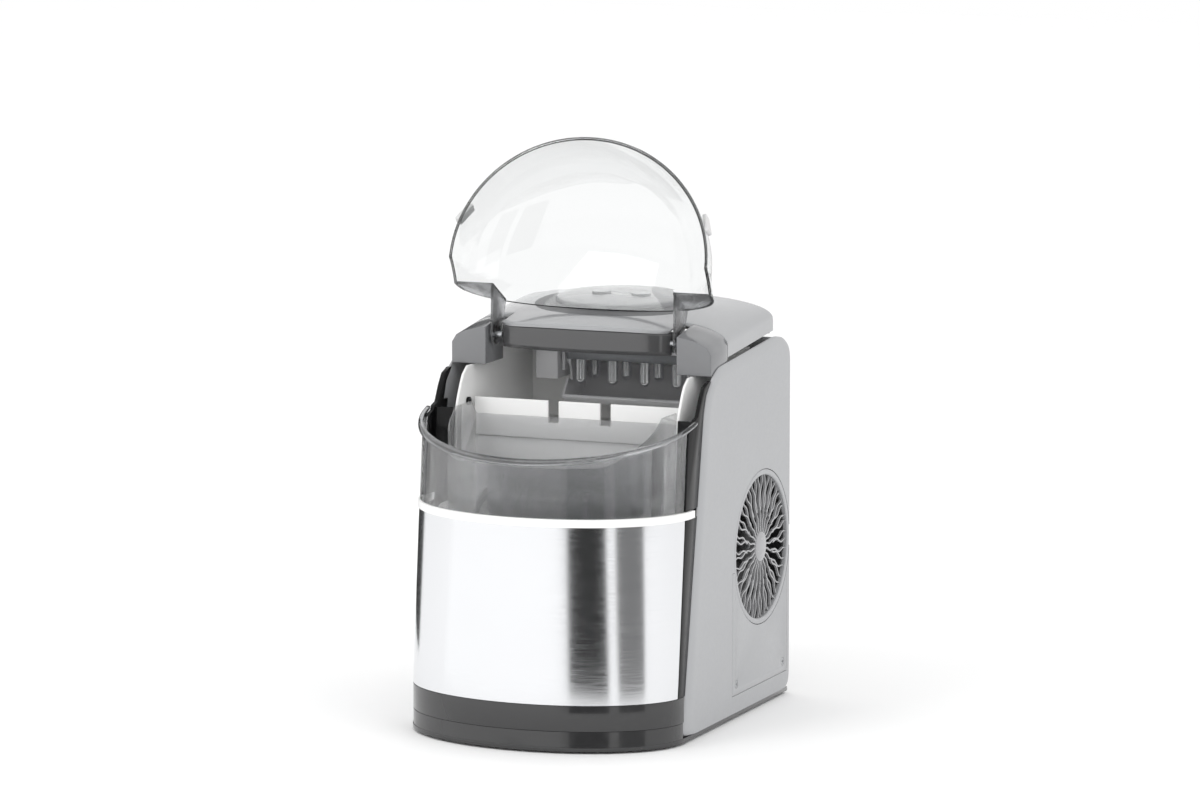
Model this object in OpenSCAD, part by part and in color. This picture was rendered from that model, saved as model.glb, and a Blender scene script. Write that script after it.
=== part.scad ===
// Countertop ice maker: bow front, side fan, hinged clear lid.
// +X is the right side, +Y the back, +Z up; the origin is on the table under the middle.

/* [Body] */
// Overall width over the side panels
body_w = 242; // [200:1:292]
// Overall depth from the bow to the rear panel
body_d = 320; // [320:1:385]
// Height of the side panels at their front corner
side_h = 302; // [300:1:306]
// Thickness of a side panel
panel_t = 4; // [3.2:0.1:5]
// Wall of thin mouldings
wall = 2.5; // [2:0.1:3]
// Gap between pieces that must not touch
gap = 0.4; // [0.3:0.05:0.6]

/* [Front] */
// Height of the rubber feet under the base
foot_h = 2; // [1.5:0.5:3]
// Top of the base band
base_top = 18.4; // [16:0.1:20]
// Top of the plinth band
plinth_top = 40; // [36:1:44]
// Top of the steel front
steel_top = 186; // [180:1:190]
// Thickness of the steel front
steel_t = 1.2; // [0.8:0.1:1.6]
// Height of the white trim band
band_h = 6; // [4:0.5:8]
// Depth of the bow in front of the side walls
bow_d = 76.5; // [70:0.5:80]

/* [Lid] */
// Thickness of the clear lid
lid_t = 2.5; // [2:0.1:3]
// Angle the lid stands open at rest
lid_open = 121; // [110:1:122]
// Diameter of the lid hinge pins
pin_d = 5; // [4:0.1:6]
// Radial clearance of a running shaft
run_gap = 0.08; // [0.05:0.01:0.1]
// Thickness of the lid arms
arm_t = 2.4; // [2:0.1:3]

/* [Cooling fan] */
// Diameter of the fan opening in the right panel
fan_d = 122; // [100:1:146]
// Number of ribs in the fan grille
rib_count = 24; // [16:1:28]
// Number of fan blades
blade_count = 7; // [5:1:9]

/* [Ice making] */
// Diameter of a freezing finger
finger_d = 9; // [7.5:0.1:11]
// Distance between fingers along the width
finger_pitch = 28.9; // [26:0.1:30]
// Distance between the two rows of fingers
row_pitch = 31; // [29:0.5:32]
// Width of the ice basket
basket_w = 186; // [150:1:188]

/* [Hidden] */
$fn = 48;

hw = body_w / 2;
front_y = -body_d / 2;
rear_y = body_d / 2;
inner_x = hw - panel_t;          // inner face of a side panel
cover_x = inner_x - gap;         // outer face of the top cover and its blocks
bow_w = hw - 2;                  // half width of the bow
lean_c = 0.1158;                 // how far the bow's ends go back per mm of height
lean_b = 0.072;                  // how much the bow deepens per mm of height
band_top = steel_top + gap + band_h;
rim_slope = 0.276;               // fall of the window's rim per mm towards the front
hinge_y = front_y + 156;
hinge_z = side_h + 18.5;
block_y = hinge_y - 13;          // front faces of the hinge blocks
cover_end = rear_y - 32;         // rear end of the top cover
crown_n = 2.3;                   // roundness of the crown across the width
rim_end_y = front_y + 109;       // where the window's rim meets the columns
rim_end_z = side_h - 34.5;
fascia_w = hw - 45.5;            // half width of the front fascia
arm_x = hw - 40.2;               // inner face of a lid arm
fan_r = fan_d / 2;
fan_y = rear_y - fan_r - 6.5;      // the duct just clears the rear panel
fan_z = 137.6;
ring_w = 4.7;                    // width of the light ring around the fan opening
liner_x = hw - 20.5;             // outer face of the bin liner
liner_back = front_y + 276;
tank_back = min(front_y + 190, fan_y - fan_r - 1.5);
sill_y = front_y + 144;          // riser between the tank and the ice chamber
tank_z = 70;
shelf_z = 190;
floor_z = 236;
ev_x = 16.7;                     // middle of the freezing fingers
ev_y = front_y + 225.5;
ev_z = side_h - 10;              // axis that the water tray tilts about
frame_z = side_h + 2;
tray_r = 34;
comp_x = -(hw - 76);
comp_y = rear_y - 58;
comp_r = 49;
block_hx = 1.5 * finger_pitch + 9.7; // half length of the block over the fingers
port_x = block_hx - 8;           // pipe ports from the middle of the fingers
drier_r = 8;
cond_t = 22;
cond_x = ev_x + port_x - drier_r - cond_t - 1.75; // the condenser stands beside the filter drier
pod_y = front_y + 235;
pump_x = -(hw - 41);
pump_y = front_y + 206;
hose_x = -(hw - 12.3);

// ---- helpers -------------------------------------------------------------

function flat(rows) = [for (r = rows) for (p = r) p];
function lerp(a, b, t) = a + (b - a) * t;
function clamp01(t) = max(0, min(1, t));

// Closed shell between an outer and an inner grid of points. Seen from outside,
// the points of a row run to the right and the rows run upwards.
module skin(outer, inner) {
    rows = len(outer);
    cols = len(outer[0]);
    n = rows * cols;
    quads = concat(
        [for (j = [0:rows - 2]) for (i = [0:cols - 2])
            [j * cols + i, j * cols + i + 1, (j + 1) * cols + i + 1, (j + 1) * cols + i]],
        [for (j = [0:rows - 2]) for (i = [0:cols - 2])
            [n + j * cols + i, n + (j + 1) * cols + i,
             n + (j + 1) * cols + i + 1, n + j * cols + i + 1]],
        [for (j = [0:rows - 2]) let (a = j * cols, b = (j + 1) * cols)
            [a, b, n + b, n + a]],
        [for (j = [0:rows - 2]) let (a = j * cols + cols - 1, b = a + cols)
            [a, n + a, n + b, b]],
        [for (i = [0:cols - 2]) [i, n + i, n + i + 1, i + 1]],
        [for (i = [0:cols - 2]) let (a = (rows - 1) * cols + i)
            [a, a + 1, n + a + 1, n + a]]);
    polyhedron(concat(flat(outer), flat(inner)),
        [for (q = quads) each [[q[2], q[1], q[0]], [q[3], q[2], q[0]]]]);
}

// Rod between two points.
module rod(a, b, r) {
    d = b - a;
    h = norm(d);
    translate(a) rotate([0, acos(d[2] / h), atan2(d[1], d[0])]) cylinder(r = r, h = h, $fn = 24);
}

function unit(v) = v / norm(v);

// Bent tube: straight runs joined by elbows of constant radius.
module pipe_run(points, r) {
    bend = 2.5 * r;
    n = len(points);
    dirs = [for (i = [0:n - 2]) unit(points[i + 1] - points[i])];
    turns = [for (i = [0:n - 3]) acos(dirs[i] * dirs[i + 1])];
    cuts = concat([0], [for (t = turns) bend * tan(t / 2)], [0]);
    for (i = [0:n - 2]) rod(points[i] + dirs[i] * cuts[i], points[i + 1] - dirs[i] * cuts[i + 1], r);
    for (i = [0:n - 3]) {
        inward = unit(dirs[i + 1] - dirs[i] * (dirs[i] * dirs[i + 1]));
        out = -inward;
        side = cross(out, dirs[i]);
        c = points[i + 1] - dirs[i] * cuts[i + 1] + inward * bend;
        multmatrix([[out[0], dirs[i][0], side[0], c[0]], [out[1], dirs[i][1], side[1], c[1]],
            [out[2], dirs[i][2], side[2], c[2]], [0, 0, 0, 1]])
            rotate_extrude(angle = turns[i], $fn = 48) translate([bend, 0]) circle(r = r, $fn = 24);
    }
}

// Profile given in Y and Z, extruded from x0 to x1.
module side_plate(points, x0, x1) {
    translate([x0, 0, 0]) rotate([90, 0, 90]) linear_extrude(x1 - x0) polygon(points);
}

// ---- curves of the body -------------------------------------------------

function bow_yc(z) = front_y + bow_d + max(0, z - plinth_top) * lean_c;
function bow_b(z) = bow_d + max(0, z - plinth_top) * lean_b;
function bow_pt(a, z, off) = [(bow_w + off) * sin(a), bow_yc(z) - (bow_b(z) + off) * cos(a), z];
function rim_z(y) = rim_end_z + rim_slope * (y - rim_end_y);

// Bow in plan, closed straight across at the back.
function bow_plan(off, w, back) = concat(
    [for (k = [0:32]) let (a = -90 + k * 180 / 32)
        [w * sin(a), front_y + bow_d - (bow_d + off) * cos(a)]],
    [[w, back], [-w, back]]);

module bow_wall(z0, z1, t, off, amax, rows = 2, cols = 40) {
    angles = [for (i = [0:cols - 1]) -amax + 2 * amax * i / (cols - 1)];
    levels = [for (j = [0:rows - 1]) lerp(z0, z1, j / (rows - 1))];
    skin([for (z = levels) [for (a = angles) bow_pt(a, z, off)]],
         [for (z = levels) [for (a = angles) bow_pt(a, z, off - t)]]);
}

// Front edge of a side panel, from the base up to its rounded corner.
function side_y(z) = front_y + 74.5 + 0.18 * z;
corner_z = side_h - 34;
side_outline = concat(
    [[rear_y - 2, 6], [side_y(6), 6], [side_y(corner_z), corner_z]],
    [[side_y(corner_z) + 6, side_h - 19], [side_y(corner_z) + 19, side_h - 7],
     [side_y(corner_z) + 33, side_h + 0.4]],
    [[cover_end - 1, side_h + 10.5], [rear_y - 12, side_h + 7], [rear_y - 4, side_h + 1],
     [rear_y - 2, side_h - 5]]);
side_face = [[rear_y - 2, 6], [side_y(6) + 12, 6], [side_y(corner_z) + 10, corner_z + 6],
    [side_y(corner_z) + 17, side_h - 15], [side_y(corner_z) + 30, side_h - 10.5],
    [cover_end - 1, side_h + 1.4], [rear_y - 2, side_h + 0.4]];

function ridge_z(y) = side_h + 12 + 0.0975 * (y - block_y);
function crown_mid(y) = side_h + 30.7 + 14 * sin(90 * clamp01((y - block_y + 1) / 118));
function crown_z(x, y) = ridge_z(y) + (crown_mid(y) - ridge_z(y))
    * pow(1 - pow(min(1, abs(x) / cover_x), crown_n), 1 / crown_n);

// Solid under the crown between two stations and two sides, down to a flat bottom.
module crown_block(y0, y1, x0, x1, bottom, rows, cols) {
    ys = [for (j = [0:rows - 1]) lerp(y0, y1, j / (rows - 1))];
    xs = [for (i = [0:cols - 1]) lerp(x0, x1, i / (cols - 1))];
    skin([for (y = ys) [for (x = xs) [x, y, crown_z(x, y)]]],
         [for (y = ys) [for (x = xs) [x, y, bottom]]]);
}

// ---- base and front ------------------------------------------------------

module base_tray() color([0.16, 0.16, 0.17]) {
    difference() {
        union() {
            translate([0, 0, foot_h]) linear_extrude(3.6) polygon(bow_plan(0, bow_w + 0.6, rear_y - 2));
            translate([0, 0, foot_h + 3.59]) linear_extrude(base_top - foot_h - 3.59) intersection() {
                polygon(bow_plan(0, bow_w, front_y + bow_d + 0.01));
                translate([-hw, front_y - 1]) square([body_w, bow_d - 0.3]);
            }
            translate([-inner_x + gap, front_y + bow_d - 1.4, foot_h + 3.59])
                cube([2 * (inner_x - gap), body_d - bow_d - 3.6, base_top - foot_h - 3.59]);
        }
        translate([0, 0, foot_h + 3.6]) linear_extrude(40)
            polygon(bow_plan(-3, bow_w - 5, rear_y - 9));
        for (p = foot_places) translate([p[0], p[1], foot_h - 1]) cylinder(d = 16, h = 2.5);
    }
    for (p = comp_feet) translate([p[0], p[1], foot_h + 3.6]) cylinder(d = 9, h = 8.4);
}

foot_places = [for (sx = [-1, 1]) for (y = [front_y + 60, rear_y - 28]) [sx * (hw - 31), y]];
comp_feet = [for (k = [0:2]) let (a = 120 * k + 60)
    [comp_x + (comp_r + 5) * sin(a), comp_y + (comp_r + 5) * cos(a)]];

module rubber_feet() color([0.1, 0.1, 0.1])
    for (p = foot_places) translate([p[0], p[1], 0]) cylinder(d = 15.6, h = foot_h + 1.5);

module plinth_band() color([0.2, 0.2, 0.21]) translate([0, 0, base_top]) linear_extrude(plinth_top - base_top)
    difference() {
        polygon(bow_plan(0, bow_w, front_y + bow_d + 1));
        polygon(bow_plan(-3, bow_w - 3, front_y + bow_d + 10));
    }

module front_panel() color([0.75, 0.76, 0.77])
    bow_wall(plinth_top, steel_top, steel_t, 0, 82);

module trim_band() color([0.95, 0.95, 0.95]) {
    bow_wall(steel_top, band_top, 4, 1, 90);
    for (s = [0, 1]) mirror([s, 0, 0])
        translate([bow_w - 3, bow_yc(steel_top) + 0.3, steel_top]) cube([4, 5, band_h]);
}

// Top of the window wall and the flange around it.
function rim_y(a) = bow_yc(side_h - 52) - bow_b(side_h - 52) * cos(a);
function flange_pt(a, off, dz) = let (y = rim_y(a) - off * 2.6 * cos(a))
    [(bow_w + off) * sin(a), y, rim_z(y) + dz];

function window_top(a) = rim_z(rim_y(a)) - 2;

module front_window() color([0.45, 0.46, 0.48, 0.55]) {
    angles = [for (i = [0:40]) -81 + 162 * i / 40];
    skin([for (t = [0, 0.5, 1]) [for (a = angles) bow_pt(a, lerp(band_top, window_top(a), t), -0.4)]],
         [for (t = [0, 0.5, 1]) [for (a = angles) bow_pt(a, lerp(band_top, window_top(a), t), -0.4 - wall)]]);
    rim = [for (i = [0:44]) -90 + 180 * i / 44];
    skin([for (d = [-3, 0]) [for (a = rim) flange_pt(a, 2.5, d)]],
         [for (d = [-3, 0]) [for (a = rim) flange_pt(a, -1.2, d)]]);
}

// Glossy column between the bow and a side panel, with its inner flange.
module frame_column() color([0.07, 0.07, 0.08]) {
    top = rim_end_z - 4;
    face = [[bow_yc(plinth_top) - 9.8, plinth_top], [bow_yc(steel_top) - 11.4, steel_top - gap],
        [side_y(steel_top) - gap, steel_top - gap], [side_y(plinth_top) - gap, plinth_top]];
    shoulder = bow_yc(side_h - 52) + 0.6;
    upper = concat([[bow_yc(band_top) - 11.6, band_top + gap],
        [shoulder - 12.6, rim_z(shoulder - 12.6) - 3.6], [shoulder, rim_z(shoulder) - 3.6]],
        [for (t = [0.02, 1.2])
            [shoulder + t, lerp(rim_z(shoulder) - 3.6, lid_edge(shoulder) - 1.2, min(1, t))]],
        [for (y = [lid_bend, lerp(lid_bend, lid_back, 0.5), lid_back]) [y, lid_edge(y) - 1.2]],
        [[block_y - 8, side_h - 8.6], [side_y(corner_z) + 16.4, side_h - 8.6],
         [side_y(corner_z) + 5.2, side_h - 19.2], [side_y(corner_z) - gap, corner_z],
         [side_y(band_top) - gap, band_top + gap]]);
    tongue = [[side_y(plinth_top) - 1, plinth_top], [side_y(corner_z) - 1, corner_z],
        [side_y(corner_z) + 8, corner_z], [side_y(plinth_top) + 8, plinth_top]];
    // Filler behind the gap between the plinth and the side panel
    low = [[front_y + bow_d - 4, base_top], [front_y + bow_d - 4, plinth_top + 2],
        [side_y(plinth_top) + 6, plinth_top + 2], [side_y(plinth_top) + 6, base_top]];
    side_plate(low, bow_w - 7, bow_w - 3.4);
    side_plate(face, bow_w - 4, bow_w - 0.8);
    side_plate(upper, bow_w - 4, bow_w - 0.8);
    side_plate(tongue, bow_w - 4, inner_x - 0.01);
    // The inner flange faces forward behind the window
    flange = [[bow_yc(plinth_top) + 10, plinth_top], [bow_yc(top) + 6, top],
        [bow_yc(top) + 8.5, top], [bow_yc(plinth_top) + 12.5, plinth_top]];
    side_plate(flange, liner_x + 0.2, bow_w - 4 + 0.01);
}

module frame_column_left() mirror([1, 0, 0]) frame_column();
module frame_column_right() frame_column();

// ---- side panels and fan --------------------------------------------------

module panel_shape() {
    hull() {
        side_plate(side_outline, inner_x, inner_x + 0.6);
        side_plate(side_face, hw - 0.01, hw);
    }
}

module side_panel_left() color([0.76, 0.77, 0.78]) mirror([1, 0, 0]) difference() {
    panel_shape();
    for (k = [0:7]) translate([inner_x - 1, fan_y - 45, 90 + 11 * k]) cube([panel_t + 2, 90, 4.5]);
}

cover_plate = [[fan_y - 69.5, 21], [rear_y - 8, 21], [rear_y - 8, 125], [fan_y - 69.5, 125]];

module side_panel_right() color([0.76, 0.77, 0.78]) difference() {
    panel_shape();
    translate([inner_x - 1, fan_y, fan_z]) rotate([0, 90, 0])
        cylinder(r = fan_r + ring_w + gap, h = panel_t + 2, $fn = 96);
    side_plate([for (p = cover_plate) p + [p[0] < fan_y ? -gap : gap, p[1] < 60 ? -gap : gap]],
        hw - 2.4, hw + 1);
}

module fan_service_cover() color([0.76, 0.77, 0.78]) difference() {
    side_plate(cover_plate, hw - 2.4, hw);
    translate([inner_x - 1, fan_y, fan_z]) rotate([0, 90, 0])
        cylinder(r = fan_r + ring_w + gap, h = panel_t + 2, $fn = 96);
    for (p = cover_screws) translate([hw - 3, p[0], p[1]]) rotate([0, 90, 0]) {
        cylinder(d = 3.4, h = 5);
        translate([0, 0, 1.3]) cylinder(d = 7.2, h = 5);
    }
}

cover_screws = [[fan_y - 60, 30], [rear_y - 17, 30]];
rear_screws = [for (s = [-1, 1]) for (z = [60, 170, 280]) [s * (inner_x - 10), z]];

// Ribs that fork once on their way out from the hub.
module grille_ribs() {
    for (k = [0:rib_count - 1]) rotate(k * 360 / rib_count) {
        polygon([[12, -0.7], [fan_r * 0.55, -0.9], [fan_r * 0.55, 0.9], [12, 0.7]]);
        for (s = [-1, 1]) polygon([[fan_r * 0.55 - 0.8, 0.9 * s - 0.1 * s], [fan_r + 1, 5.2 * s],
            [fan_r + 1, 3.6 * s], [fan_r * 0.55 - 0.8, -0.9 * s]]);
    }
    circle(r = 13);
}

module fan_grille() color([0.25, 0.25, 0.26]) translate([inner_x, fan_y, fan_z]) rotate([90, 0, 90]) {
    linear_extrude(2) grille_ribs();
    difference() {
        cylinder(r = fan_r + ring_w, h = panel_t, $fn = 96);
        translate([0, 0, -1]) cylinder(r = fan_r, h = panel_t + 2, $fn = 96);
    }
    translate([0, 0, 1.9]) intersection() {
        translate([0, 0, -38]) sphere(r = 40, $fn = 64);
        cylinder(r = 13, h = 4);
    }
}

module fan_shroud() color([0.15, 0.15, 0.16]) translate([0, fan_y, fan_z]) rotate([90, 0, 90]) {
    translate([0, 0, inner_x - 4]) linear_extrude(4 - 0.01) difference() {
        square([2 * (fan_r + 2), 2 * (fan_r + 4)], center = true);
        circle(r = fan_r - 3, $fn = 96);
    }
    translate([0, 0, inner_x - 33]) linear_extrude(29.01) difference() {
        circle(r = fan_r - 1, $fn = 96);
        circle(r = fan_r - 3, $fn = 96);
    }
    for (k = [0:2]) rotate(120 * k + 30) translate([19.5, -4, inner_x - 33]) cube([fan_r - 21.5, 8, 2.4]);
    translate([0, 0, inner_x - 33]) linear_extrude(2.4) difference() {
        circle(r = 21);
        circle(r = 5);
    }
}

module fan_motor() color([0.5, 0.5, 0.52]) translate([0, fan_y, fan_z]) rotate([90, 0, 90]) {
    translate([0, 0, inner_x - 57]) cylinder(r = 19, h = 24);
    translate([0, 0, inner_x - 33.01]) cylinder(r = 4.4, h = 4);
    translate([0, 0, inner_x - 30]) cylinder(r = 3, h = 22);
}

module fan_impeller() color([0.12, 0.12, 0.13]) translate([inner_x - 26, fan_y, fan_z]) rotate([90, 0, 90]) {
    difference() {
        union() {
            cylinder(r = 17, h = 16);
            for (k = [0:blade_count - 1]) rotate(k * 360 / blade_count)
                translate([15, 0, 8]) rotate([32, 0, 0]) translate([0, -13, -0.9]) cube([fan_r - 21, 26, 1.8]);
        }
        translate([0, 0, -1]) cylinder(r = 3 + run_gap, h = 20);
    }
}

// ---- rear ---------------------------------------------------------------

inlet_x = cond_x + cond_t + 20;
inlet_z = 48;
drain_x = -(hw - 23);
drain_z = 34;

module rear_panel() color([0.72, 0.73, 0.74]) difference() {
    translate([-inner_x + gap, rear_y - 4, foot_h + 4]) cube([2 * (inner_x - gap), 4, side_h - 8 - foot_h]);
    for (k = [0:11]) translate([-70, rear_y - 5, 92 + 12 * k]) cube([140, 6, 5]);
    translate([inlet_x, rear_y - 2, inlet_z]) cube([31, 10, 25], center = true);
    translate([drain_x, rear_y + 1, drain_z]) rotate([90, 0, 0]) cylinder(d = 20, h = 6);
    for (p = rear_screws) translate([p[0], rear_y + 1, p[1]]) rotate([90, 0, 0]) {
        cylinder(d = 7.2, h = 3);
        cylinder(d = 3.4, h = 8);
    }
}

module rear_hood() color([0.5, 0.5, 0.51])
    side_plate([[cover_end + gap, side_h - 1.6], [cover_end + gap, side_h + 9.5], [rear_y - 12, side_h + 6],
        [rear_y - 4, side_h], [rear_y, side_h - 3.6]], -inner_x + gap, inner_x - gap);

module power_inlet() color([0.08, 0.08, 0.08]) translate([inlet_x, rear_y, inlet_z]) {
    difference() {
        translate([0, -11.2, 0]) cube([30, 22, 24], center = true);
        translate([0, -6, 0]) cube([24, 16, 16], center = true);
    }
    for (x = [-7, 0, 7]) translate([x, -10, x == 0 ? 2 : -2]) cube([1.6, 10, 4], center = true);
}

module drain_cap() color([0.9, 0.9, 0.9]) translate([drain_x, rear_y - 0.2, drain_z]) rotate([90, 0, 0]) {
    translate([0, 0, 0.4]) cylinder(d = 19, h = 5);
    translate([0, 0, 0.4]) cylinder(d = 12, h = 11);
}

// Pan head screw pointing down, with a cross recess; its head is 1.6 high.
module screw(length) difference() {
    union() {
        cylinder(d = 6.4, h = 1.6);
        translate([0, 0, -length]) cylinder(d = 3.2, h = length + 0.01);
    }
    for (a = [0, 90]) rotate(a) translate([-1.9, -0.4, 0.6]) cube([3.8, 0.8, 2]);
}

module case_screws() color([0.7, 0.7, 0.72]) {
    for (p = cover_screws) translate([hw - 1.7, p[0], p[1]]) rotate([0, 90, 0]) screw(0.6);
    for (p = rear_screws) translate([p[0], rear_y - 2, p[1]]) rotate([-90, 0, 0]) screw(5);
}

// ---- top ----------------------------------------------------------------

slot_end = block_y + 38;         // rear end of the slots that the lid arms turn in

module top_cover() color([0.55, 0.55, 0.56]) {
    rows = 8;
    cols = 29;
    ys = [for (j = [0:rows - 1]) lerp(slot_end + gap, cover_end, j / (rows - 1))];
    bottoms = [for (y = ys) side_h + 2.5 + 0.087 * (y - block_y)];
    difference() {
        skin([for (j = [0:rows - 1]) concat([[-cover_x, ys[j], bottoms[j]]],
                [for (i = [0:cols - 1]) let (x = cover_x * sin(lerp(-90, 90, i / (cols - 1))))
                    [x, ys[j], crown_z(x, ys[j])]],
                [[cover_x, ys[j], bottoms[j]]])],
             [for (j = [0:rows - 1]) concat([[-cover_x + wall, ys[j], bottoms[j]]],
                [for (i = [0:cols - 1]) let (x = (cover_x - wall) * sin(lerp(-90, 90, i / (cols - 1))))
                    [x, ys[j], crown_z(x * cover_x / (cover_x - wall), ys[j]) - wall]],
                [[cover_x - wall, ys[j], bottoms[j]]])]);
        for (x = button_xs) translate([x, pod_y, side_h + 30]) cylinder(r = button_r + gap, h = 30);
    }
    // Rear wall that closes the crown above the hood
    end = [for (i = [0:cols - 1]) let (x = (cover_x - wall) * sin(lerp(-90, 90, i / (cols - 1))))
        [x, crown_z(x * cover_x / (cover_x - wall), cover_end) - wall + 0.02]];
    translate([0, cover_end, 0]) rotate([90, 0, 0]) linear_extrude(wall)
        polygon(concat([[-cover_x + wall, side_h + 12.6]], end, [[cover_x - wall, side_h + 12.6]]));
}

module hinge_block() color([0.49, 0.49, 0.5])
    crown_block(block_y, slot_end, arm_x + 5, cover_x, side_h - 5.6, 4, 9);

module hinge_block_left() mirror([1, 0, 0]) hinge_block();
module hinge_block_right() hinge_block();

function face_y(x) = block_y - 1 + 9 * pow(abs(x) / fascia_w, 2) + 5 * pow(abs(x) / fascia_w, 12);

// Smoked front of the control top, bowed a little forward.
module top_fascia() color([0.3, 0.3, 0.31]) {
    cols = 17;
    xs = [for (i = [0:cols - 1]) lerp(-fascia_w, fascia_w, i / (cols - 1))];
    ts = [0, 0.35, 0.7, 1];
    skin([for (t = ts) [for (x = xs) let (y = lerp(face_y(x), slot_end, t)) [x, y, crown_z(x, y)]]],
         [for (t = ts) [for (x = xs) let (y = lerp(face_y(x), slot_end, t)) [x, y, side_h + 11.5]]]);
    side_plate([[block_y + 7, side_h + 8.2], [slot_end, side_h + 8.2], [slot_end, side_h + 11.6],
        [block_y + 7, side_h + 11.6]], -fascia_w + 3, fascia_w - 3);
}

function pod_pt(k, s, dz) = let (x = 57 * s * cos(9 * k), y = pod_y + 48 * s * sin(9 * k))
    [x, y, crown_z(x, y) + dz];
pod_rings = [1, 0.8, 0.6, 0.4, 0.2];

// Raised oval around the controls; it follows the crown and stands a little above it.
module control_pod() color([0.6, 0.6, 0.61]) {
    cols = 40;
    n = len(pod_rings) * cols;
    last = (len(pod_rings) - 1) * cols;
    points = concat(
        [for (s = pod_rings) for (k = [0:cols - 1]) pod_pt(k, s == 1 ? 0.965 : s, 3.4)],
        [for (s = pod_rings) for (k = [0:cols - 1]) pod_pt(k, s, 0.12)],
        [[0, pod_y, crown_z(0, pod_y) + 3.4], [0, pod_y, crown_z(0, pod_y) + 0.12]]);
    difference() {
        polyhedron(points, concat(
            [for (j = [0:len(pod_rings) - 2]) for (k = [0:cols - 1])
                let (m = (k + 1) % cols, a = j * cols, b = a + cols) each [
                    [b + k, b + m, a + m], [b + k, a + m, a + k],
                    [n + a + m, n + b + m, n + b + k], [n + a + k, n + a + m, n + b + k]]],
            [for (k = [0:cols - 1]) let (m = (k + 1) % cols) each [
                [last + k, 2 * n, last + m], [n + last + m, 2 * n + 1, n + last + k],
                [k, m, n + m], [k, n + m, n + k]]]));
        for (x = button_xs) translate([x, pod_y, side_h + 30]) cylinder(r = button_r + gap, h = 30);
        for (p = lens_places) translate([p[0], p[1], crown_z(p[0], p[1]) + 2.6]) cylinder(r = 2.1, h = 4);
    }
}

button_xs = [-18, 18];
button_r = 8;
button_top = crown_z(18, pod_y) + 4.6;
lens_places = [for (x = [-10, 0, 10]) [x, pod_y + 22]];

// Button with the flange under the cover that keeps it in.
module button() translate([0, pod_y, button_top]) {
    translate([0, 0, -9.4]) cylinder(r = button_r, h = 9.4);
    translate([0, 0, -9.4]) cylinder(r = button_r + 1.4, h = 0.8);
}

module power_button() color([0.8, 0.8, 0.8]) translate([button_xs[0], 0, 0]) button();
module select_button() color([0.8, 0.8, 0.8]) translate([button_xs[1], 0, 0]) button();

module indicator_lenses() color([0.9, 0.9, 0.85])
    for (p = lens_places) translate([p[0], p[1], crown_z(p[0], p[1]) + 2.6]) cylinder(r = 2, h = 1.1);

module control_board() color([0.1, 0.35, 0.15]) {
    translate([-45, pod_y - 24, side_h + 32]) cube([90, 48, 1.6]);
    for (x = button_xs) translate([x, pod_y, side_h + 33.59]) cylinder(r = 3, h = button_top - side_h - 45.1);
    for (sx = [-1, 1]) for (sy = [-1, 1]) translate([sx * 40, pod_y + sy * 20, side_h + 33.6])
        cylinder(r = 2.5, h = crown_z(40, pod_y + sy * 20) - wall - side_h - 34.6);
}

// ---- lid ----------------------------------------------------------------

lid_w = hw - 5.5;
lid_back = block_y - 18.5;
lid_nose = front_y + 8;
lid_bend = front_y + 110;        // where the lid's sides turn up to the hinge blocks
lid_base = 1.2;                  // gap between the lid's edge and the window's rim

function lid_half(y, t) = y > lid_bend ? lid_w - t
    : (lid_w - t) * sqrt(max(0, 1 - pow((y - lid_bend) / (lid_bend - lid_nose - t), 2)));
function lid_edge(y) = y < lid_bend ? rim_z(y) + lid_base
    : rim_z(lid_bend) + lid_base + 22 * pow((y - lid_bend) / (lid_back - lid_bend), 0.8);
function lid_crown(y, t) = let (u = clamp01((lid_back + 2 - y) / (lid_back + 2 - lid_nose - t)))
    (side_h + 30 - t - rim_z(lid_nose)) * pow(1 - pow(u, 2.5), 1 / 2.5) + rim_z(lid_nose);
function lid_section(y, t, cols) = let (w = lid_half(y, t), e = lid_edge(y), h = max(0.4, lid_crown(y, t) - e))
    [for (i = [0:cols - 1]) let (a = 180 * i / (cols - 1), c = cos(a), s = sin(a))
        [w * sign(c) * pow(abs(c), 0.8), y, e + h * pow(abs(s), 0.8)]];

module lid_shell() {
    rows = 15;
    cols = 27;
    steps = [for (j = [0:rows - 1]) sin(89.7 * j / (rows - 1))];
    skin([for (s = steps) lid_section(lerp(lid_back, lid_nose, s), 0, cols)],
         [for (s = steps) lid_section(lerp(lid_back, lid_nose + lid_t, s), lid_t, cols)]);
}

// Corner walls and arms that close the lid's rear edge and carry it on its pins.
module lid_arm() {
    section = [for (p = lid_section(lid_back, 1, 41)) if (p[0] > arm_x) [p[0], p[2]]];
    translate([0, lid_back + 0.01, 0]) rotate([90, 0, 0]) linear_extrude(2.2)
        polygon(concat([[arm_x, lid_edge(lid_back)]], section, [[arm_x, section[len(section) - 1][1]]]));
    difference() {
        union() {
            side_plate([[lid_back - 2, lid_edge(lid_back)], [hinge_y + 5, hinge_z - 7.4],
                [hinge_y - 1, hinge_z + 9], [lid_back - 2, hinge_z + 4]], arm_x, arm_x + arm_t);
            translate([arm_x, hinge_y, hinge_z]) rotate([0, 90, 0]) cylinder(r = 9, h = arm_t);
        }
        translate([arm_x - 1, hinge_y, hinge_z]) rotate([0, 90, 0])
            cylinder(r = pin_d / 2 + run_gap, h = arm_t + 2);
    }
}

module lid_closed() {
    lid_shell();
    lid_arm();
    mirror([1, 0, 0]) lid_arm();
}

module opened() translate([0, hinge_y, hinge_z]) rotate([-lid_open, 0, 0])
    translate([0, -hinge_y, -hinge_z]) children();

module lid() color([0.85, 0.87, 0.88, 0.35]) opened() lid_closed();

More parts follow.
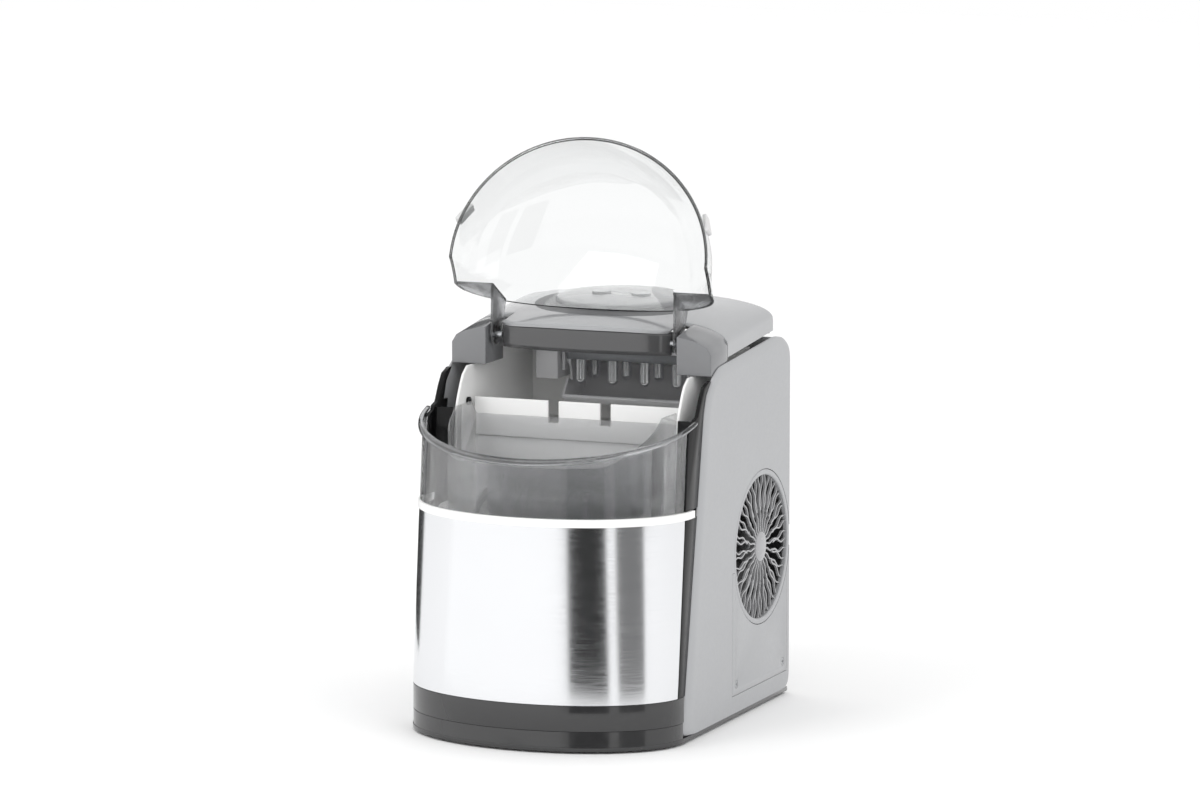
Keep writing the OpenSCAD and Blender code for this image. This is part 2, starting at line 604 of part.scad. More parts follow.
module lid_catches() color([0.85, 0.85, 0.86]) opened() for (s = [0, 1]) mirror([s, 0, 0]) {
    y = lid_bend - 38;
    translate([lid_half(y, 0), y, lid_edge(y) + 7.5]) rotate([0, 0, -24.4])
        translate([1.85, 0, 0]) rotate([-15, 0, 0]) cube([3.6, 19, 8], center = true);
}

module lid_hinge_pins() color([0.75, 0.75, 0.76]) for (s = [0, 1]) mirror([s, 0, 0])
    translate([fascia_w, hinge_y, hinge_z]) rotate([0, 90, 0]) cylinder(d = pin_d, h = arm_x + 5 - fascia_w);

// ---- ice bin and basket ----------------------------------------------------

function liner_plan(w, off, back) = concat(
    [for (k = [0:24]) let (a = -90 + k * 180 / 24) [w * sin(a), front_y + 90 - (78 + off) * cos(a)]],
    [[w, back], [-w, back]]);

module water_tank() color([0.93, 0.93, 0.93]) {
    translate([0, 0, tank_z]) linear_extrude(shelf_z - wall - tank_z) difference() {
        polygon(liner_plan(liner_x, 0, tank_back));
        polygon(liner_plan(liner_x - wall, -wall, tank_back - wall));
    }
    translate([0, 0, tank_z]) linear_extrude(wall) polygon(liner_plan(liner_x - 1, -1, tank_back - 1));
    // Ledge that the basket stands on
    translate([0, 0, shelf_z - 6.5]) linear_extrude(wall) difference() {
        polygon(liner_plan(liner_x - 1, -1, sill_y + 1));
        polygon(liner_plan(liner_x - 20, -20, sill_y - 16));
    }
    // Guide for the float
    translate([0, tank_back - 20, tank_z + wall - 0.01]) cylinder(r = float_r - 0.3, h = 42);
    translate([0, tank_back - 20, tank_z + wall + 41]) cylinder(r = 6, h = 2);
}

// Lining of the ice chamber; it stands on the tank and clears the fan's duct.
module bin_liner() color([0.93, 0.93, 0.93]) {
    in_x = liner_x - wall;
    side_plate([[sill_y, shelf_z - wall], [tank_back, shelf_z - wall], [tank_back, shelf_z],
        [sill_y + wall, shelf_z], [sill_y + wall, floor_z - wall], [liner_back, floor_z - wall],
        [liner_back, side_h + 2], [liner_back - wall, side_h + 2], [liner_back - wall, floor_z],
        [sill_y, floor_z]], -in_x - 0.01, in_x + 0.01);
    for (s = [0, 1]) mirror([s, 0, 0]) side_plate([[bow_yc(shelf_z) + 12.9, shelf_z - wall],
        [tank_back, shelf_z - wall], [tank_back, floor_z - wall], [liner_back, floor_z - wall],
        [liner_back, side_h + 2], [slot_end + 2, side_h + 2],
        [slot_end + 2, side_h - 6.4], [block_y - 8, side_h - 6.4], [lid_back + 1.5, side_h - 12.5],
        [lid_back - 3, side_h - 19], [lid_bend + 5, side_h - 31], [bow_yc(rim_end_z) + 9.2, rim_end_z - 4]],
        in_x, liner_x);
}

float_r = 3.5;

basket_x = basket_w / 2;
basket_back = sill_y - 5;
basket_z = shelf_z - 6.5 + wall;

module basket_plan(inset) {
    w = basket_x - inset;
    polygon(concat([for (k = [0:24]) let (a = -90 + k * 180 / 24)
        [w * sin(a), front_y + 92 - (72 - inset) * cos(a)]],
        [[w, basket_back - inset], [-w, basket_back - inset]]));
}

// Basket with a stepped floor; slots drain the melt water from the step.
module ice_basket() color([0.5, 0.51, 0.53, 0.5]) difference() {
    union() {
        difference() {
            translate([0, 0, basket_z]) linear_extrude(side_h - 35 - basket_z) basket_plan(0);
            translate([0, 0, basket_z + 2]) linear_extrude(200) basket_plan(2);
        }
        intersection() {
            translate([0, 0, basket_z]) linear_extrude(40) basket_plan(1);
            side_plate([[step_y, basket_z], [step_y, basket_z + 10], [step_y + 12, basket_z + 20],
                [basket_back, basket_z + 20], [basket_back, basket_z + 18], [step_y + 13, basket_z + 18],
                [step_y + 2, basket_z + 9], [step_y + 2, basket_z]], -basket_x, basket_x);
        }
    }
    // The rim is low at the front and at the back, high along the sides
    side_plate([[front_y, side_h - 70], [front_y + 40, side_h - 70], [front_y + 96, side_h - 35.5],
        [front_y + 96, side_h], [front_y, side_h]], -hw, hw);
    side_plate([[basket_back - 14, side_h - 34], [basket_back - 2.5, side_h - 46.5],
        [basket_back + 1, side_h - 46.5], [basket_back + 1, side_h - 34]], -hw, hw);
    for (k = [0:5]) translate([-46 + 18.4 * k, step_y - 1, basket_z + 3]) cube([6, 14, 14]);
}

step_y = front_y + 76;

module ice_shovel() color([0.95, 0.95, 0.95]) {
    blade_x = liner_x - wall - 3.5;
    y = sill_y - 3.6;
    difference() {
        translate([-blade_x, y, floor_z + 1]) cube([2 * blade_x, 2.5, side_h - 33 - floor_z - 1]);
        for (s = [-1, 1]) translate([s * 23.4 - 4.8, y - 1, floor_z + 14]) cube([9.6, 5, 40]);
    }
    translate([-blade_x, y + 2.49, floor_z + gap]) cube([2 * blade_x, 16, 2]);
}

module ice_sensor() color([0.06, 0.06, 0.07])
    translate([-(liner_x - wall), front_y + 133, side_h - 36]) rotate([0, 90, 0]) {
        cylinder(r = 3.6, h = 2.4);
        translate([0, 0, 2.3]) cylinder(r = 1.6, h = 1.2);
    }

module water_float() color([0.9, 0.9, 0.88]) translate([0, tank_back - 20, tank_z + 12]) difference() {
    cylinder(r = 11, h = 16);
    translate([0, 0, -1]) cylinder(r = float_r, h = 20);
}

// ---- ice making -------------------------------------------------------------

finger_xs = [for (k = [-1.5:1:1.5]) ev_x + finger_pitch * k];
finger_ys = [for (k = [-0.5, 0.5]) ev_y + row_pitch * k];

module evaporator_frame() color([0.6, 0.6, 0.61]) {
    difference() {
        translate([-liner_x, ev_y - 26, frame_z]) cube([2 * liner_x, 52, 2.5]);
        for (p = pipe_ports) translate([p[0], p[1], frame_z - 1]) cylinder(r = 4, h = 5);
    }
    // Cheeks that the tray's trunnions turn in
    for (x = cheek_xs) difference() {
        translate([x, ev_y - 8, ev_z - 8]) cube([2.4, 16, frame_z - ev_z + 8.01]);
        translate([x - 1, ev_y, ev_z]) rotate([0, 90, 0]) cylinder(r = 3 + run_gap, h = 5);
    }
}

tray_hx = block_hx + 5.6;
cheek_xs = [ev_x - tray_hx - 5.4, ev_x + tray_hx + 3];
pipe_ports = [for (s = [-1, 1]) [ev_x + s * port_x, ev_y]];

module evaporator() color([0.8, 0.8, 0.81]) {
    translate([ev_x - block_hx, ev_y - row_pitch / 2 - 8, frame_z - 8])
        cube([2 * block_hx, row_pitch + 16, 8]);
    for (x = finger_xs) for (y = finger_ys) translate([x, y, side_h - 27.5 + finger_d / 2]) {
        sphere(d = finger_d, $fn = 24);
        cylinder(d = finger_d, h = frame_z - 7.9 - (side_h - 27.5 + finger_d / 2));
    }
}

// Trough that tilts around the fingers; its ends carry the trunnions.
module water_tray() color([0.5, 0.5, 0.51]) translate([ev_x, ev_y, ev_z]) rotate([90, 0, 90]) {
    translate([0, 0, -tray_hx]) rotate(-129) rotate_extrude(angle = 120, $fn = 64)
        translate([tray_r, 0]) square([2.4, 2 * tray_hx]);
    for (z = [-tray_hx, tray_hx - 2.2]) translate([0, 0, z]) {
        rotate(-129) rotate_extrude(angle = 120, $fn = 64) translate([17, 0]) square([tray_r - 16.9, 2.2]);
        rotate(-76) translate([0, -6, 0]) cube([18, 12, 2.2]);
        cylinder(r = 7, h = 2.2);
    }
    translate([0, 0, -tray_hx - 6.4]) cylinder(r = 3, h = 6.41);
    translate([0, 0, tray_hx - 0.01]) cylinder(r = 3, h = 6.4);
}

module tray_motor() color([0.15, 0.15, 0.16]) {
    x1 = cheek_xs[0] - 1.2;
    translate([x1 - 20, ev_y - 15, ev_z - 15]) cube([20, 30, frame_z - ev_z + 15]);
}

// ---- cooling circuit ----------------------------------------------------------

module compressor() color([0.09, 0.09, 0.1]) {
    translate([comp_x, comp_y, 0]) rotate_extrude($fn = 64) polygon(concat([[0, 24], [34, 24]],
        [for (a = [0:15:90]) [comp_r - 12 + 12 * sin(a), 38 - 12 * cos(a) - 2]],
        [for (a = [0:15:90]) [comp_r - 26 + 26 * cos(a), 124 + 26 * sin(a)]], [[0, 150]]));
    difference() {
        for (p = comp_feet) hull() {
            translate([p[0], p[1], 20]) cylinder(r = 8, h = 2.5, $fn = 24);
            translate([lerp(comp_x, p[0], 0.55), lerp(comp_y, p[1], 0.55), 20]) cylinder(r = 12, h = 5, $fn = 24);
        }
        for (p = comp_feet) translate([p[0], p[1], 15]) cylinder(d = 5, h = 12);
    }
}

module compressor_mounts() color([0.12, 0.12, 0.12])
    for (p = comp_feet) translate([p[0], p[1], foot_h + 12]) cylinder(r = 7, h = 20 - foot_h - 12);

fin_count = 22;

module condenser() color([0.7, 0.71, 0.72]) {
    for (k = [0:fin_count - 1]) translate([cond_x, fan_y - 53 + k * 106 / (fin_count - 1) - 0.5, fan_z - 62])
        cube([cond_t, 1, 124]);
    for (k = [0:4]) for (x = [cond_x + 6, cond_x + 16]) translate([x, fan_y - 56, fan_z - 50 + 25 * k])
        rotate([-90, 0, 0]) cylinder(r = 3.5, h = 112, $fn = 24);
}

module condenser_bracket() color([0.6, 0.61, 0.62])
    for (s = [-1, 1]) translate([cond_x, fan_y + s * 57 - 1, foot_h + 3.6])
        cube([cond_t, 2, fan_z + 62 - foot_h - 3.6]);

pipe_r = 3;

module discharge_pipe() color([0.72, 0.45, 0.3]) pipe_run([[comp_x + 18, comp_y, 150.1],
    [comp_x + 18, comp_y, 208], [cond_x + 6, comp_y, 208], [cond_x + 6, comp_y, fan_z + 62.1]], pipe_r);

module suction_pipe() color([0.72, 0.45, 0.3]) {
    y_out = liner_back + 6;
    p = pipe_ports[0];
    pipe_run([[p[0], p[1], frame_z], [p[0], p[1], frame_z + 11], [p[0], y_out, frame_z + 11],
        [p[0], y_out, 178], [comp_x - 14, y_out, 178], [comp_x - 14, comp_y, 178],
        [comp_x - 14, comp_y, 150.1]], pipe_r);
}

module filter_drier() color([0.75, 0.5, 0.32]) {
    p = pipe_ports[1];
    y_out = liner_back + 6;
    pipe_run([[p[0], p[1], frame_z], [p[0], p[1], frame_z + 11], [p[0], y_out, frame_z + 11],
        [p[0], y_out, 214.9]], 2.2);
    translate([p[0], y_out, 165]) cylinder(r = drier_r, h = 50);
    pipe_run([[p[0], y_out, 165.1], [p[0], y_out, 150], [cond_x + cond_t + 0.1, y_out, 150]], 2.2);
}

module water_pump() color([0.2, 0.2, 0.22]) {
    translate([pump_x, pump_y, foot_h + 3.6]) cylinder(r = 14, h = 40);
    translate([pump_x, pump_y, foot_h + 43.5]) cylinder(r = 9, h = 8);
}

module water_hose() color([0.85, 0.86, 0.87]) {
    pipe_run([[pump_x, pump_y, foot_h + 51.6], [pump_x, pump_y, tank_z + 10],
        [pump_x, tank_back + 0.1, tank_z + 10]], 3.5);
    pipe_run([[pump_x - 14.05, pump_y, 30], [hose_x, pump_y, 30], [hose_x, pump_y, frame_z + 6.2],
        [-(liner_x - 16), pump_y, frame_z + 6.2]], 3.4);
}

// ---- nodes ----------------------------------------------------------------

base_tray();
rubber_feet();
plinth_band();
front_panel();
trim_band();
front_window();
frame_column_left();
frame_column_right();
side_panel_left();
side_panel_right();
fan_service_cover();
fan_grille();
fan_shroud();
fan_motor();
fan_impeller();
rear_panel();
rear_hood();
power_inlet();
drain_cap();
case_screws();
top_cover();
hinge_block_left();
hinge_block_right();
top_fascia();
control_pod();
power_button();
select_button();
indicator_lenses();
control_board();
lid();
lid_catches();
lid_hinge_pins();
water_tank();
bin_liner();
ice_basket();
ice_shovel();
ice_sensor();
water_float();
evaporator_frame();
evaporator();
water_tray();
tray_motor();
compressor();
compressor_mounts();
condenser();
condenser_bracket();
discharge_pipe();
suction_pipe();
filter_drier();
water_pump();
water_hose();
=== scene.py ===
"""Looks of a countertop ice maker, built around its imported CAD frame."""

import math

import bmesh
import bpy
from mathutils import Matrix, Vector


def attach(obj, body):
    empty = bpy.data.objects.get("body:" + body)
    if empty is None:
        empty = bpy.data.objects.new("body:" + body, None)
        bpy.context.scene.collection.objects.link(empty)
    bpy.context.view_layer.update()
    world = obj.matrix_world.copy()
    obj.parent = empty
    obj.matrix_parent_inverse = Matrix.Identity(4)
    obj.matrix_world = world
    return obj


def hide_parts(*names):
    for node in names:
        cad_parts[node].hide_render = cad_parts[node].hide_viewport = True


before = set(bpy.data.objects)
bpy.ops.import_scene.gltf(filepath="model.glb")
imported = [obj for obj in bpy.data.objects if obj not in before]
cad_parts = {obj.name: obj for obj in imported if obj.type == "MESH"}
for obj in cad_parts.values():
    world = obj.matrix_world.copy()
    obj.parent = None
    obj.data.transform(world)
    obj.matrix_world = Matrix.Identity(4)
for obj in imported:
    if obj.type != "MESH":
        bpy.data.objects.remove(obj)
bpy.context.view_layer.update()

bl_info = {
    "name": "Ice maker looks",
    "version": (1, 0, 0),
    "blender": (4, 5, 0),
    "location": "View3D > Sidebar > Ice maker",
    "description": "Builds the visible pieces of a countertop ice maker on its CAD frame",
    "category": "Object",
}

MM = 0.001

# Sizes of the body in millimetres, the same as the solids have
HALF_W = 121.0  # outer face of a side panel
PANEL_IN = 117.0  # inner face of a side panel
FRONT = -160.0  # foremost point of the bow at its foot
REAR = 160.0
SIDE_TOP = 302.0  # side panel at its front corner
WALL = 2.5  # thin mouldings
BOW_W = 119.0  # half width of the bow
BOW_D = 76.5  # depth of the bow in front of the side walls
LEAN_C = 0.1158  # how far the bow's ends go back per mm of height
LEAN_B = 0.072  # how much the bow deepens per mm of height
PLINTH_TOP = 40.0
STEEL_LOW = PLINTH_TOP + 0.15  # edges of the steel sheet
STEEL_HIGH = 185.9
STEEL_T = 1.2
BAND_TOP = 192.4  # top of the white band
RIM_Y = -51.0  # where the window's rim meets the columns
RIM_Z = 267.5
RIM_SLOPE = 0.276  # fall of the rim per mm towards the front
COVER_X = 116.6  # outer face of the crown and the hinge blocks
BLOCK_Y = -17.0  # front faces of the hinge blocks
SLOT_END = 21.0  # rear end of the hinge blocks
COVER_END = 128.0  # rear end of the crown
CROWN_N = 2.3  # roundness of the crown across the width
FASCIA_W = 75.5  # half width of the fascia
LIP_Z = 314.2  # top of the fascia's lip
HINGE = (-4.0, 320.5)  # y and z of the lid's pins
LID_OPEN = math.radians(121)
ARM_X = 80.8  # inner face of a lid arm
ARM_T = 2.4
LID_W = 115.5  # half width of the lid
LID_BACK = -35.5  # y of the shut lid's corner walls
LID_BEND = -50.0  # where the sides pass into the nose
LID_NOSE = -152.0
FAN_Y = 92.5
FAN_Z = 137.6
FAN_R = 61.0  # fan opening
RING_R = 65.7  # outer edge of the ring round the opening
HUB_R = 13.0
POD_Y = 75.0  # middle of the control pod
BUTTON_X = 18.0
WELL_R = 8.4  # holes of the buttons in the pod
FINGER_BLOCK_Z = 295.5  # faces above this belong to the block over the fingers


# ---- settings -------------------------------------------------------------

def length_prop(name, description, default, low, high):
    """A length in metres."""
    return bpy.props.FloatProperty(name=name, description=description, default=default, min=low,
                                   max=high, unit="LENGTH", subtype="DISTANCE")


def colour_prop(name, description, default):
    """A colour as sRGB hex."""
    return bpy.props.StringProperty(name=name, description=description, default=default)


class IceMakerSizes(bpy.types.PropertyGroup):
    """Sizes of the visible detail."""
    edge: length_prop("Moulded edge", "Radius on the edges of moulded pieces", 0.0006, 0.0001, 0.002)
    lid_wall: length_prop("Lid wall", "Thickness of the clear lid", 0.0025, 0.002, 0.003)
    rib_width: length_prop("Grille rib", "Width of a rib of the fan grille", 0.0013, 0.0008, 0.003)
    rib_wave: bpy.props.FloatProperty(
        name="Rib wave", description="How far a rib wanders to each side",
        default=math.radians(1.7), min=0.0, max=0.1, unit="ROTATION", subtype="ANGLE")
    ribs: bpy.props.IntProperty(
        name="Ribs", description="Number of forked ribs in the fan grille",
        default=24, min=12, max=36)
    floor: length_prop("Floor", "Width of the floor the machine stands on", 14.0, 2.0, 40.0)


class IceMakerColours(bpy.types.PropertyGroup):
    """Colours of the finishes."""
    panel: colour_prop("Side panels", "Moulded ABS of the case", "#A9AAAC")
    # The top's grey is set lighter than the grey of the hinge blocks, which are the same moulding: partly
    # its own grey, partly painted light for the light that falls on its upturned face
    top: colour_prop("Top", "Polished ABS of the control top", "#A3A4A6")
    fascia: colour_prop("Fascia", "Smoked acrylic strip under the crown", "#4A4A4B")
    gloss_dark: colour_prop("Base", "Polished dark ABS of the base and plinth", "#2E2E2F")
    gloss_black: colour_prop("Columns", "Black ABS beside the bow", "#0C0C0D")
    white: colour_prop("White", "White ABS of the bin and the trim band", "#F4F4F3")
    grey_inside: colour_prop("Chamber parts", "Grey ABS of the tray and its frame", "#D2D2D4")
    clear: colour_prop("Lid", "Clear polystyrene of the lid", "#F6F7F7")
    smoked: colour_prop("Window", "Smoked polystyrene of the window", "#CDCED0")
    basket: colour_prop("Basket", "Smoked polystyrene of the ice basket", "#D6D7D9")


def sizes():
    """The scene's IceMakerSizes."""
    return bpy.context.scene.ice_maker_sizes


def colours():
    """The scene's IceMakerColours."""
    return bpy.context.scene.ice_maker_colours


def linear(hex_colour, alpha=1.0):
    """sRGB hex to the linear colour that a shader takes."""
    parts = [int(hex_colour[i:i + 2], 16) / 255 for i in (1, 3, 5)]
    light = [p / 12.92 if p <= 0.04045 else ((p + 0.055) / 1.055) ** 2.4 for p in parts]
    return (*light, alpha)


# ---- materials ------------------------------------------------------------

def add(tree, kind, inputs=None, **settings):
    """A node with its settings, and its inputs given as values or as sockets to link."""
    new = tree.nodes.new(kind)
    for key, value in settings.items():
        setattr(new, key, value)
    for key, value in (inputs or {}).items():
        if isinstance(value, bpy.types.NodeSocket):
            tree.links.new(value, new.inputs[key])
        else:
            new.inputs[key].default_value = value
    return new


EVEN = (1.0, 1.0, 1.0)


def surface(name, colour, rough, bump, tint, stretch=EVEN, pull=EVEN, **shader):
    """A principled material whose roughness, bump and, where tint is given, colour come from patterns.

    rough is (low, high, grain in mm), bump is (depth in mm, grain in mm), and tint is (share of
    the colour that varies, patch size in mm). stretch draws the pattern of the roughness out, and
    pull that of the bump: the smaller the share of an axis, the longer the grain along it.
    """
    mat = bpy.data.materials.get(name)
    if mat:
        return mat
    mat = bpy.data.materials.new(name)
    mat.use_nodes = True
    tree = mat.node_tree
    tree.nodes.clear()
    coords = add(tree, "ShaderNodeTexCoord").outputs["Object"]
    low, high, grain = rough
    spots = add(tree, "ShaderNodeMapping", {"Vector": coords, "Scale": stretch})
    haze = add(tree, "ShaderNodeTexNoise",
               {"Vector": spots.outputs[0], "Scale": 1 / (grain * MM), "Detail": 3.0})
    span = {"Value": haze.outputs[0], "From Min": 0.3, "From Max": 0.7, "To Min": low, "To Max": high}
    rough_map = add(tree, "ShaderNodeMapRange", span)
    inputs = {"Roughness": rough_map.outputs[0], "Base Color": linear(colour)}
    if tint:
        share, patch = tint
        cloud = add(tree, "ShaderNodeTexNoise",
                    {"Vector": coords, "Scale": 1 / (patch * MM), "Detail": 2.0})
        mix = add(tree, "ShaderNodeMix", {"Factor": cloud.outputs[0]}, data_type="RGBA")
        base = linear(colour)[:3]
        # Sockets 6 and 7 are the two colours to mix, and output 2 is their mixture
        mix.inputs[6].default_value = (*[c * (1 - share) for c in base], 1.0)
        mix.inputs[7].default_value = (*[min(1.0, c * (1 + share)) for c in base], 1.0)
        inputs["Base Color"] = mix.outputs[2]
    depth, size = bump
    pulled = add(tree, "ShaderNodeMapping", {"Vector": coords, "Scale": pull})
    relief = add(tree, "ShaderNodeTexNoise",
                 {"Vector": pulled.outputs[0], "Scale": 1 / (size * MM), "Detail": 4.0})
    dents = add(tree, "ShaderNodeBump",
                {"Height": relief.outputs[0], "Distance": depth * MM, "Strength": 1.0})
    inputs["Normal"] = dents.outputs[0]
    inputs.update(shader)
    principled = add(tree, "ShaderNodeBsdfPrincipled", inputs)
    add(tree, "ShaderNodeOutputMaterial", {"Surface": principled.outputs[0]})
    return mat


def moulded_abs(name, colour, low=0.34, high=0.44, depth=0.004):
    """ABS from a spark-eroded mould: an even satin, with a grain of about half a millimetre."""
    return surface(name, colour, (low, high, 3.0), (depth, 0.5), (0.02, 60.0), IOR=1.53)


def polished_abs(name, colour, rough=0.1):
    """ABS from a polished mould: deep gloss, with the slow waviness of a thin moulding."""
    return surface(name, colour, (rough, rough + 0.08, 8.0), (0.006, 16.0), (0.03, 40.0),
                   IOR=1.53, **{"Coat Weight": 0.3, "Coat Roughness": 0.06})


def clear_styrene(name, colour, rough=0.02, body=0.45):
    """Polystyrene moulded clear: sharp reflections, bent light at the edges, faint flow haze.

    body is the share of light that bends; the rest goes straight through the thin wall.
    """
    return surface(name, colour, (rough, rough + 0.03, 20.0), (0.004, 22.0), None,
                   IOR=1.58, Alpha=body, **{"Transmission Weight": 1.0})


def metal(name, colour, rough, bump, tint, **more):
    """Bare or plated metal, which shows only what it mirrors, in its own colour."""
    return surface(name, colour, rough, bump, tint, Metallic=1.0, **more)


FINISHES = {
    # The satin grain of the case breaks the light up into an even grey
    "case": lambda: moulded_abs("ABS_case_grained", colours().panel),
    # Polished mouldings: soft mirror images that bend a little with the thin wall
    # The crown's grey is partly its own and partly painted light: it is lighter than the hinge blocks of the
    # same moulding because light falls on its top
    "top": lambda: polished_abs("ABS_top_grey_and_painted_light", colours().top, 0.13),
    "block": lambda: polished_abs("ABS_hinge_block_polished", "#78797B", 0.14),
    "fascia": lambda: polished_abs("Acrylic_fascia_smoked", colours().fascia, 0.12),
    "base": lambda: polished_abs("ABS_base_polished", colours().gloss_dark, 0.12),
    # Black ABS straight from the mould shows its own black more than the light around it
    "column": lambda: surface("ABS_column_black", colours().gloss_black, (0.16, 0.24, 8.0),
                              (0.004, 16.0), (0.03, 40.0), IOR=1.53, **{"Specular IOR Level": 0.2}),
    # Satin mouldings of the bin and the chamber glow evenly, without a mirror image
    "white": lambda: moulded_abs("ABS_white_satin", colours().white, 0.38, 0.48, 0.003),
    "inside": lambda: moulded_abs("ABS_chamber_grey", colours().grey_inside, 0.3, 0.4, 0.003),
    "pod": lambda: polished_abs("ABS_pod_polished", "#7E7F81", 0.16),
    # The printed film is flat and matte, so it darkens the crown round the pod
    "overlay": lambda: moulded_abs("Film_overlay_matte", "#6A6B6D", 0.42, 0.5, 0.002),
    "button": lambda: polished_abs("ABS_button_polished", "#8D8E90", 0.18),
    # Clear pieces: the more of the light bends, the darker their edges stand out
    "lens": lambda: clear_styrene("Styrene_lens_clear", "#E8E6DC", 0.1),
    "clear": lambda: clear_styrene("Styrene_lid_clear", colours().clear, body=1.0),
    "rim": lambda: clear_styrene("Styrene_rim_smoked", "#A2A3A5", 0.02, body=1.0),
    "arm": lambda: clear_styrene("Styrene_arm_clear", "#A8A9AB", 0.16, body=0.9),
    "smoked": lambda: clear_styrene("Styrene_window_smoked", colours().smoked, body=0.6),
    "basket": lambda: clear_styrene("Styrene_basket_smoked", colours().basket, 0.06),
    "catch": lambda: moulded_abs("ABS_catch_grey", "#D2D2D2", 0.3, 0.4, 0.006),
    # Polypropylene is waxy: a broad, dull sheen on near black
    "duct": lambda: moulded_abs("PP_duct_black", "#232324", 0.4, 0.55, 0.01),
    # Ribs and hub of the grille: their own dark grey, lifted to a light grey as painted highlight for the
    # light the glossy ribs catch
    "grille": lambda: polished_abs("ABS_grille_grey_and_painted_highlight", "#9C9C9E", 0.2),
    # Rubber takes light softly and shows a fine, uneven skin
    "rubber": lambda: surface("Rubber_moulded", "#1B1B1B", (0.7, 0.85, 1.0), (0.02, 0.4),
                              (0.1, 10.0), IOR=1.5),
    # Sheet steel brushed along the bow: long fine scratches draw the reflections into upright bands
    "steel": lambda: metal("Stainless_steel_brushed", "#E4E5E7", (0.1, 0.2, 0.4), (0.0004, 0.4),
                           (0.02, 90.0), stretch=(0.02, 0.02, 1.0), pull=(0.015, 0.015, 1.0),
                           Anisotropic=0.3),
    # Nickel-plated copper fingers: mirror bright, a little wavy from drawing
    "chrome": lambda: metal("Nickel_plate_bright", "#EDEEF0", (0.03, 0.08, 4.0), (0.002, 6.0), (0.02, 20.0)),
    # Bare casting: dull, with a coarse skin
    "cast": lambda: metal("Aluminium_block_cast", "#6F7173", (0.4, 0.55, 2.0), (0.01, 1.0), (0.08, 8.0)),
    # Bright zinc with slight stains
    "screw": lambda: metal("Zinc_plate_screw", "#B4B6B8", (0.2, 0.35, 1.0), (0.004, 0.3), (0.05, 3.0)),
    # Turned can: fine rings round the motor's axis
    "motor": lambda: metal("Steel_can_turned", "#A0A2A5", (0.25, 0.4, 0.3), (0.002, 0.3), (0.04, 20.0),
                           stretch=(1.0, 0.05, 0.05), pull=(1.0, 0.1, 0.1)),
    # Thin stamped sheet: slightly uneven, so each fin catches the light on its own
    "fins": lambda: metal("Aluminium_fin_stamped", "#C4C7CA", (0.25, 0.4, 3.0), (0.01, 4.0), (0.05, 12.0)),
    # Galvanised sheet shows soft patches of zinc crystals
    "zinc": lambda: metal("Galvanised_sheet", "#9EA2A5", (0.3, 0.5, 5.0), (0.006, 2.0), (0.12, 7.0)),
    # Sprayed enamel keeps a faint orange peel in its highlights
    "enamel": lambda: surface("Enamel_black_sprayed", "#171718", (0.25, 0.4, 4.0), (0.02, 2.0),
                              (0.06, 30.0), IOR=1.5),
    # Drawn tube, tarnished in patches
    "copper": lambda: metal("Copper_tube_drawn", "#B8734A", (0.2, 0.4, 5.0), (0.004, 1.5), (0.15, 14.0)),
    # Solder mask on glass fibre: a half gloss with a trace of the weave's unevenness
    "board": lambda: surface("Glass_epoxy_board", "#1F5A33", (0.3, 0.45, 2.0), (0.006, 0.8), (0.1, 6.0),
                             IOR=1.55),
    # Silicone lets some light through, so the hose looks milky
    "hose": lambda: surface("Silicone_hose_milky", "#DCDDDD", (0.3, 0.45, 3.0), (0.01, 3.0),
                            (0.03, 20.0), IOR=1.41, **{"Transmission Weight": 0.35}),
    # Matte paper: nothing is mirrored in it
    "floor": lambda: surface("Paper_floor_matte", "#FFFFFF", (0.85, 0.95, 30.0), (0.02, 6.0),
                             (0.004, 400.0), IOR=1.45),
}


def finish(name):
    """The material of this name in FINISHES."""
    return FINISHES[name]()


# ---- mesh making ------------------------------------------------------------

def linked(name, data):
    """A new object in the scene with this mesh, lamp or camera."""
    thing = bpy.data.objects.new(name, data)
    bpy.context.scene.collection.objects.link(thing)
    return thing


BEVELLED_ANGLE = 50.0  # degrees; after a bevel only sharper edges than this stay crisp


def mark_edges(mesh, angle=38.0):
    """Smooth shading with the edges sharper than angle left crisp."""
    work = bmesh.new()
    work.from_mesh(mesh)
    bmesh.ops.recalc_face_normals(work, faces=work.faces)
    for face in work.faces:
        face.smooth = True
    for edge in work.edges:
        edge.smooth = len(edge.link_faces) == 2 and edge.calc_face_angle() < math.radians(angle)
    work.to_mesh(mesh)
    work.free()


def bevel_edges(mesh, radius, angle=38.0, segments=2):
    """Rounds every edge sharper than angle; the radius is in metres."""
    work = bmesh.new()
    work.from_mesh(mesh)
    bmesh.ops.remove_doubles(work, verts=work.verts, dist=2e-6)
    bmesh.ops.dissolve_limit(work, angle_limit=math.radians(0.4), verts=work.verts, edges=work.edges)
    bmesh.ops.recalc_face_normals(work, faces=work.faces)
    sharp = [edge for edge in work.edges
             if len(edge.link_faces) == 2 and edge.calc_face_angle() > math.radians(angle)]
    if sharp and radius > 0:
        bmesh.ops.bevel(work, geom=sharp, offset=radius, offset_type="OFFSET", segments=segments,
                        profile=0.5, affect="EDGES", clamp_overlap=True)
    work.to_mesh(mesh)
    work.free()


def place(name, mesh, finish_name, body="chassis", stands_for=()):
    """Puts a finished mesh in the scene and ties it to its body."""
    piece = linked(name, mesh)
    mesh.materials.clear()
    mesh.materials.append(finish(finish_name))
    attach(piece, body)
    if stands_for:
        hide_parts(*stands_for)
    return piece


def from_points(name, points, faces, bevel=0.0, angle=38.0):
    """A mesh from points in millimetres, its edges rounded by bevel where that is given."""
    mesh = bpy.data.meshes.new(name)
    mesh.from_pydata([Vector(p) * MM for p in points], [], faces)
    if bevel:
        bevel_edges(mesh, bevel * MM, angle)
    mark_edges(mesh, BEVELLED_ANGLE if bevel else angle)
    return mesh


